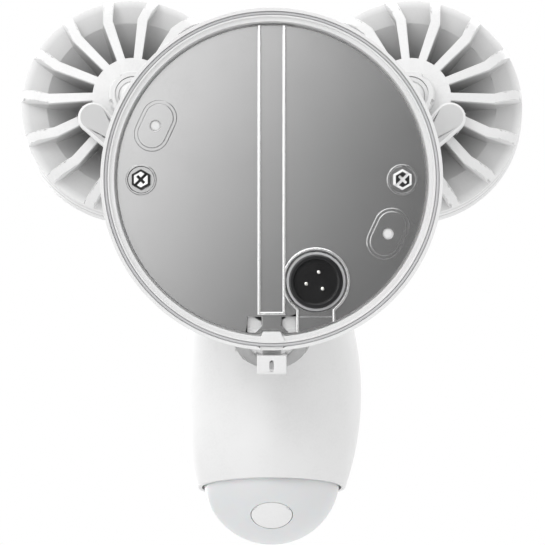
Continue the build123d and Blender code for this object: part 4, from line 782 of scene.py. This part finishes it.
class FLOODLIGHT_OT_light_sources(bpy.types.Operator):
    """Put a silicone lens on each LED chip and facets into each reflector"""

    bl_idname = "floodlight.light_sources"
    bl_label = "Light sources"

    def execute(self, context):
        sizes = context.scene.floodlight_sizes
        for side in SIDES:
            matrix = lamp_basis(side)
            body = f"lamp_{side}"
            chip_front = local_box(f"led_chips_{side}", matrix)[1].z
            places = [place for radius, count in LED_RINGS for place in polar(radius, count)]
            reach = places[0][0]
            first = dome_piece(matrix, reach, 0.0, chip_front, sizes.led_dome, sizes.led_dome * 0.8)
            lenses = [first]
            for x, y in places[1:]:
                shift = matrix @ Matrix.Translation((x - reach, y, 0.0)) @ matrix.inverted()
                lenses.append(copied(first, shift))
            lens_field = join_all(lenses)
            smooth(lens_field)
            settle(lens_field, f"led_lenses_{side}", body, "led", "chip_lens")
            self.add_facets(matrix, side, body)
        return {"FINISHED"}

    def add_facets(self, matrix, side, body):
        low, high = local_box(f"reflector_{side}", matrix)
        outer = high.x - 1.4 * MM
        steps = (
            ("inner", 20.7 * MM, low.z + 1.5 * MM, 33.9 * MM, low.z + 4.1 * MM),
            ("outer", 34.1 * MM, low.z + 4.2 * MM, outer - 0.1 * MM, high.z),
        )
        for label, radius_low, z_low, radius_high, z_high in steps:
            deselect_all()
            bpy.ops.mesh.primitive_cone_add(
                vertices=36, radius1=radius_low, radius2=radius_high, depth=z_high - z_low,
                end_fill_type="NOTHING", **placed(matrix, 0.0, 0.0, (z_low + z_high) / 2),
            )
            ring = bpy.context.active_object
            bpy.ops.object.mode_set(mode="EDIT")
            bpy.ops.mesh.select_all(action="SELECT")
            bpy.ops.mesh.flip_normals()
            bpy.ops.mesh.inset(thickness=0.35 * MM, depth=-0.12 * MM, use_individual=True)
            bpy.ops.object.mode_set(mode="OBJECT")
            modifier = ring.modifiers.new("Metal", "SOLIDIFY")
            modifier.thickness = 0.1 * MM
            modifier.offset = -1.0
            select_only(ring)
            bpy.ops.object.modifier_apply(modifier=modifier.name)
            settle(ring, f"reflector_facets_{label}_{side}", body, "mirror")


class FLOODLIGHT_OT_camera_front(bpy.types.Operator):
    """Add the lens element and its rings, the infra-red rims and the speaker mesh"""

    bl_idname = "floodlight.camera_front"
    bl_label = "Camera front"

    def execute(self, context):
        matrix = camera_basis()
        low, high = local_box("camera_lens", matrix)
        middle = (low.y + high.y) / 2
        reach = 5.5 * MM
        rise = 3.0 * MM
        bulge = (reach * reach + rise * rise) / (2 * rise)
        deselect_all()
        bpy.ops.mesh.primitive_uv_sphere_add(
            segments=48, ring_count=40, radius=bulge,
            **placed(matrix, 0.0, middle, high.z + 0.12 * MM - bulge),
        )
        element = context.active_object
        bpy.ops.object.mode_set(mode="EDIT")
        bpy.ops.mesh.select_all(action="SELECT")
        bpy.ops.mesh.bisect(
            plane_co=matrix @ Vector((0.0, middle, high.z - rise)),
            plane_no=matrix.to_3x3() @ Vector((0.0, 0.0, -1.0)), use_fill=True, clear_outer=True,
        )
        bpy.ops.object.mode_set(mode="OBJECT")
        smooth(element)
        settle(element, "lens_element", "camera", "black_plastic", "coating")
        for number, radius in enumerate((6.3, 7.0, 7.7)):
            along = high.z - 3.2 * MM + (radius - 5.6) * MM * 0.6 + 0.05 * MM
            ring = ring_piece(matrix, 0.0, middle, along, radius * MM, 0.28 * MM)
            smooth(ring, 60.0)
            settle(ring, f"lens_baffle_{number}", "camera", "black_plastic")
        frame["nodes"]["ir_leds"].material_slots[0].material = materials["ir_dome"]
        face_front = local_box("camera_face", matrix)[1].z
        rims = []
        for x, y in polar(16.6 * MM, 6, 30.0):
            rims.append(ring_piece(matrix, x, middle + y, face_front, 2.05 * MM, 0.5 * MM, 32))
        rim_field = join_all(rims)
        smooth(rim_field, 60.0)
        settle(rim_field, "infrared_rims", "camera", "steel")
        self.add_mesh(matrix)
        return {"FINISHED"}

    def add_mesh(self, matrix):
        low, high = local_box("speaker", matrix)
        deselect_all()
        bpy.ops.mesh.primitive_grid_add(
            x_subdivisions=22, y_subdivisions=18, size=1.0,
            **placed(matrix, 0.0, (low.y + high.y) / 2, high.z + 0.6 * MM),
        )
        mesh_piece = bpy.context.active_object
        mesh_piece.scale = (19.0 * MM, 14.5 * MM, 1.0)
        bpy.ops.object.transform_apply(location=True, rotation=True, scale=True)
        modifier = mesh_piece.modifiers.new("Wires", "WIREFRAME")
        modifier.thickness = 0.28 * MM
        select_only(mesh_piece)
        bpy.ops.object.modifier_apply(modifier=modifier.name)
        settle(mesh_piece, "speaker_mesh", "camera", "steel")


class FLOODLIGHT_OT_post_stops(bpy.types.Operator):
    """Close the two post holes of the plate with white stops at their foot"""

    bl_idname = "floodlight.post_stops"
    bl_label = "Post stops"

    def execute(self, context):
        pads = [mount for mount in frame["record"]["mounts"] if mount["name"] == "bracket_posts"][0]
        reach = pads["dims"]["pcd_mm"] * MM / 2
        radius = pads["dims"]["hole_r_mm"] * MM - 0.05 * MM
        plate_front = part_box("rear_plate")[0].y
        turn = math.radians(PAD_ANGLE)
        for name, sign in (("upper", 1), ("lower", -1)):
            across, up = sign * reach * math.cos(turn), sign * reach * math.sin(turn)
            deselect_all()
            bpy.ops.mesh.primitive_cylinder_add(
                vertices=48, radius=radius, depth=1.4 * MM,
                location=(across, plate_front + 1.0 * MM, up),
                rotation=(math.radians(90), 0.0, 0.0),
            )
            stop = context.active_object
            bpy.ops.object.transform_apply(location=True, rotation=True, scale=True)
            select_faces(stop, lambda normal: normal.y > 0.9)
            bpy.ops.mesh.inset(thickness=0.35 * MM, depth=0.0)
            bpy.ops.mesh.inset(thickness=0.15 * MM, depth=0.2 * MM)
            bpy.ops.object.mode_set(mode="OBJECT")
            bevel_piece(stop, 0.12 * MM, 3, 40.0)
            settle(stop, f"post_stop_{name}", "canopy", "white_shell", "stop_white")
        return {"FINISHED"}


class FLOODLIGHT_OT_stage(bpy.types.Operator):
    """Set the pale floor, the white room, the soft lights and the camera"""

    bl_idname = "floodlight.stage"
    bl_label = "Stage"

    def execute(self, context):
        scene = context.scene
        scene.view_settings.view_transform = "Standard"
        floor_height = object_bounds()[0].z - scene.floodlight_sizes.floor_drop
        deselect_all()
        bpy.ops.mesh.primitive_circle_add(
            vertices=96, radius=6.0, fill_type="NGON", location=(0.0, 0.0, floor_height)
        )
        floor = context.active_object
        floor.name = "studio_floor"
        pale = bpy.data.materials.new("studio_floor")
        pale.use_nodes = True
        shader = pale.node_tree.nodes["Principled BSDF"]
        shader.inputs["Base Color"].default_value = (0.9, 0.9, 0.9, 1.0)
        shader.inputs["Roughness"].default_value = 0.9
        floor.data.materials.append(pale)
        floor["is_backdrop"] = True
        self.add_world(scene)
        self.add_light("key", (0.9, 1.3, 1.1), 0.7, 7.0)
        self.add_light("front_fill", (-0.8, -1.6, 0.9), 1.2, 14.0)
        data = bpy.data.cameras.new("view")
        camera = bpy.data.objects.new("view", data)
        scene.collection.objects.link(camera)
        data.sensor_width = 36.0
        data.lens = VIEW_LENS
        data.clip_start = 0.05
        data.clip_end = 50.0
        camera.location = VIEW_PLACE
        camera.rotation_euler = (math.radians(90), 0.0, math.radians(180))
        scene.camera = camera
        return {"FINISHED"}

    def add_world(self, scene):
        """White room, which glossy surfaces see fade from a bright side to a dim one."""
        world = bpy.data.worlds.new("studio")
        scene.world = world
        world.use_nodes = True
        tree = world.node_tree
        room = tree.nodes["Background"]
        room.inputs["Color"].default_value = (1.0, 1.0, 1.0, 1.0)
        room.inputs["Strength"].default_value = 0.90
        x, y, z = split_axes(tree, tree.nodes.new("ShaderNodeTexCoord").outputs["Generated"])
        lean = math_node(tree, "ADD", math_node(tree, "MULTIPLY", x, 1.7), z)
        fade = map_range(tree, lean, (0.002, 0.170), (0.0, 2.90))
        behind = map_range(tree, y, (0.80, 0.55))
        level = math_node(tree, "MAXIMUM", fade, behind)
        reflected = tree.nodes.new("ShaderNodeBackground")
        tree.links.new(level, reflected.inputs["Strength"])
        seen = tree.nodes.new("ShaderNodeBackground")
        seen.inputs["Strength"].default_value = 1.0
        for background in (reflected, seen):
            background.inputs["Color"].default_value = (1.0, 1.0, 1.0, 1.0)
        rays = tree.nodes.new("ShaderNodeLightPath")
        glossy = tree.nodes.new("ShaderNodeMixShader")
        direct = tree.nodes.new("ShaderNodeMixShader")
        tree.links.new(rays.outputs["Is Glossy Ray"], glossy.inputs["Fac"])
        tree.links.new(room.outputs["Background"], glossy.inputs[1])
        tree.links.new(reflected.outputs["Background"], glossy.inputs[2])
        tree.links.new(rays.outputs["Is Camera Ray"], direct.inputs["Fac"])
        tree.links.new(glossy.outputs["Shader"], direct.inputs[1])
        tree.links.new(seen.outputs["Background"], direct.inputs[2])
        tree.links.new(direct.outputs["Shader"], tree.nodes["World Output"].inputs["Surface"])

    def add_light(self, name, place, size, power):
        data = bpy.data.lights.new(name, "AREA")
        data.size = size
        data.energy = power
        light = bpy.data.objects.new(name, data)
        bpy.context.scene.collection.objects.link(light)
        light.location = place
        light.rotation_euler = (-Vector(place)).to_track_quat("-Z", "Y").to_euler()


class FLOODLIGHT_PT_panel(bpy.types.Panel):
    """Steps and settings of the floodlight camera"""

    bl_idname = "FLOODLIGHT_PT_panel"
    bl_label = "Floodlight camera"
    bl_space_type = "VIEW_3D"
    bl_region_type = "UI"
    bl_category = "Floodlight"

    def draw(self, context):
        column = self.layout.column(align=True)
        for name in STEPS:
            column.operator(f"floodlight.{name}")
        box = self.layout.box()
        for settings in (context.scene.floodlight_finishes, context.scene.floodlight_sizes):
            for label in settings.__annotations__:
                box.prop(settings, label)


STEPS = (
    "finishes", "castings", "mouldings", "gasket", "post_stops", "light_sources", "camera_front", "stage"
)
CLASSES = (
    FloodlightFinishes,
    FloodlightSizes,
    FLOODLIGHT_OT_finishes,
    FLOODLIGHT_OT_castings,
    FLOODLIGHT_OT_mouldings,
    FLOODLIGHT_OT_gasket,
    FLOODLIGHT_OT_post_stops,
    FLOODLIGHT_OT_light_sources,
    FLOODLIGHT_OT_camera_front,
    FLOODLIGHT_OT_stage,
    FLOODLIGHT_PT_panel,
)


def register():
    for item in CLASSES:
        bpy.utils.register_class(item)
    bpy.types.Scene.floodlight_finishes = bpy.props.PointerProperty(type=FloodlightFinishes)
    bpy.types.Scene.floodlight_sizes = bpy.props.PointerProperty(type=FloodlightSizes)


def unregister():
    del bpy.types.Scene.floodlight_sizes
    del bpy.types.Scene.floodlight_finishes
    for item in reversed(CLASSES):
        bpy.utils.unregister_class(item)


def main():
    register()
    for name in STEPS:
        getattr(bpy.ops.floodlight, name)()


if __name__ == "__main__":
    main()
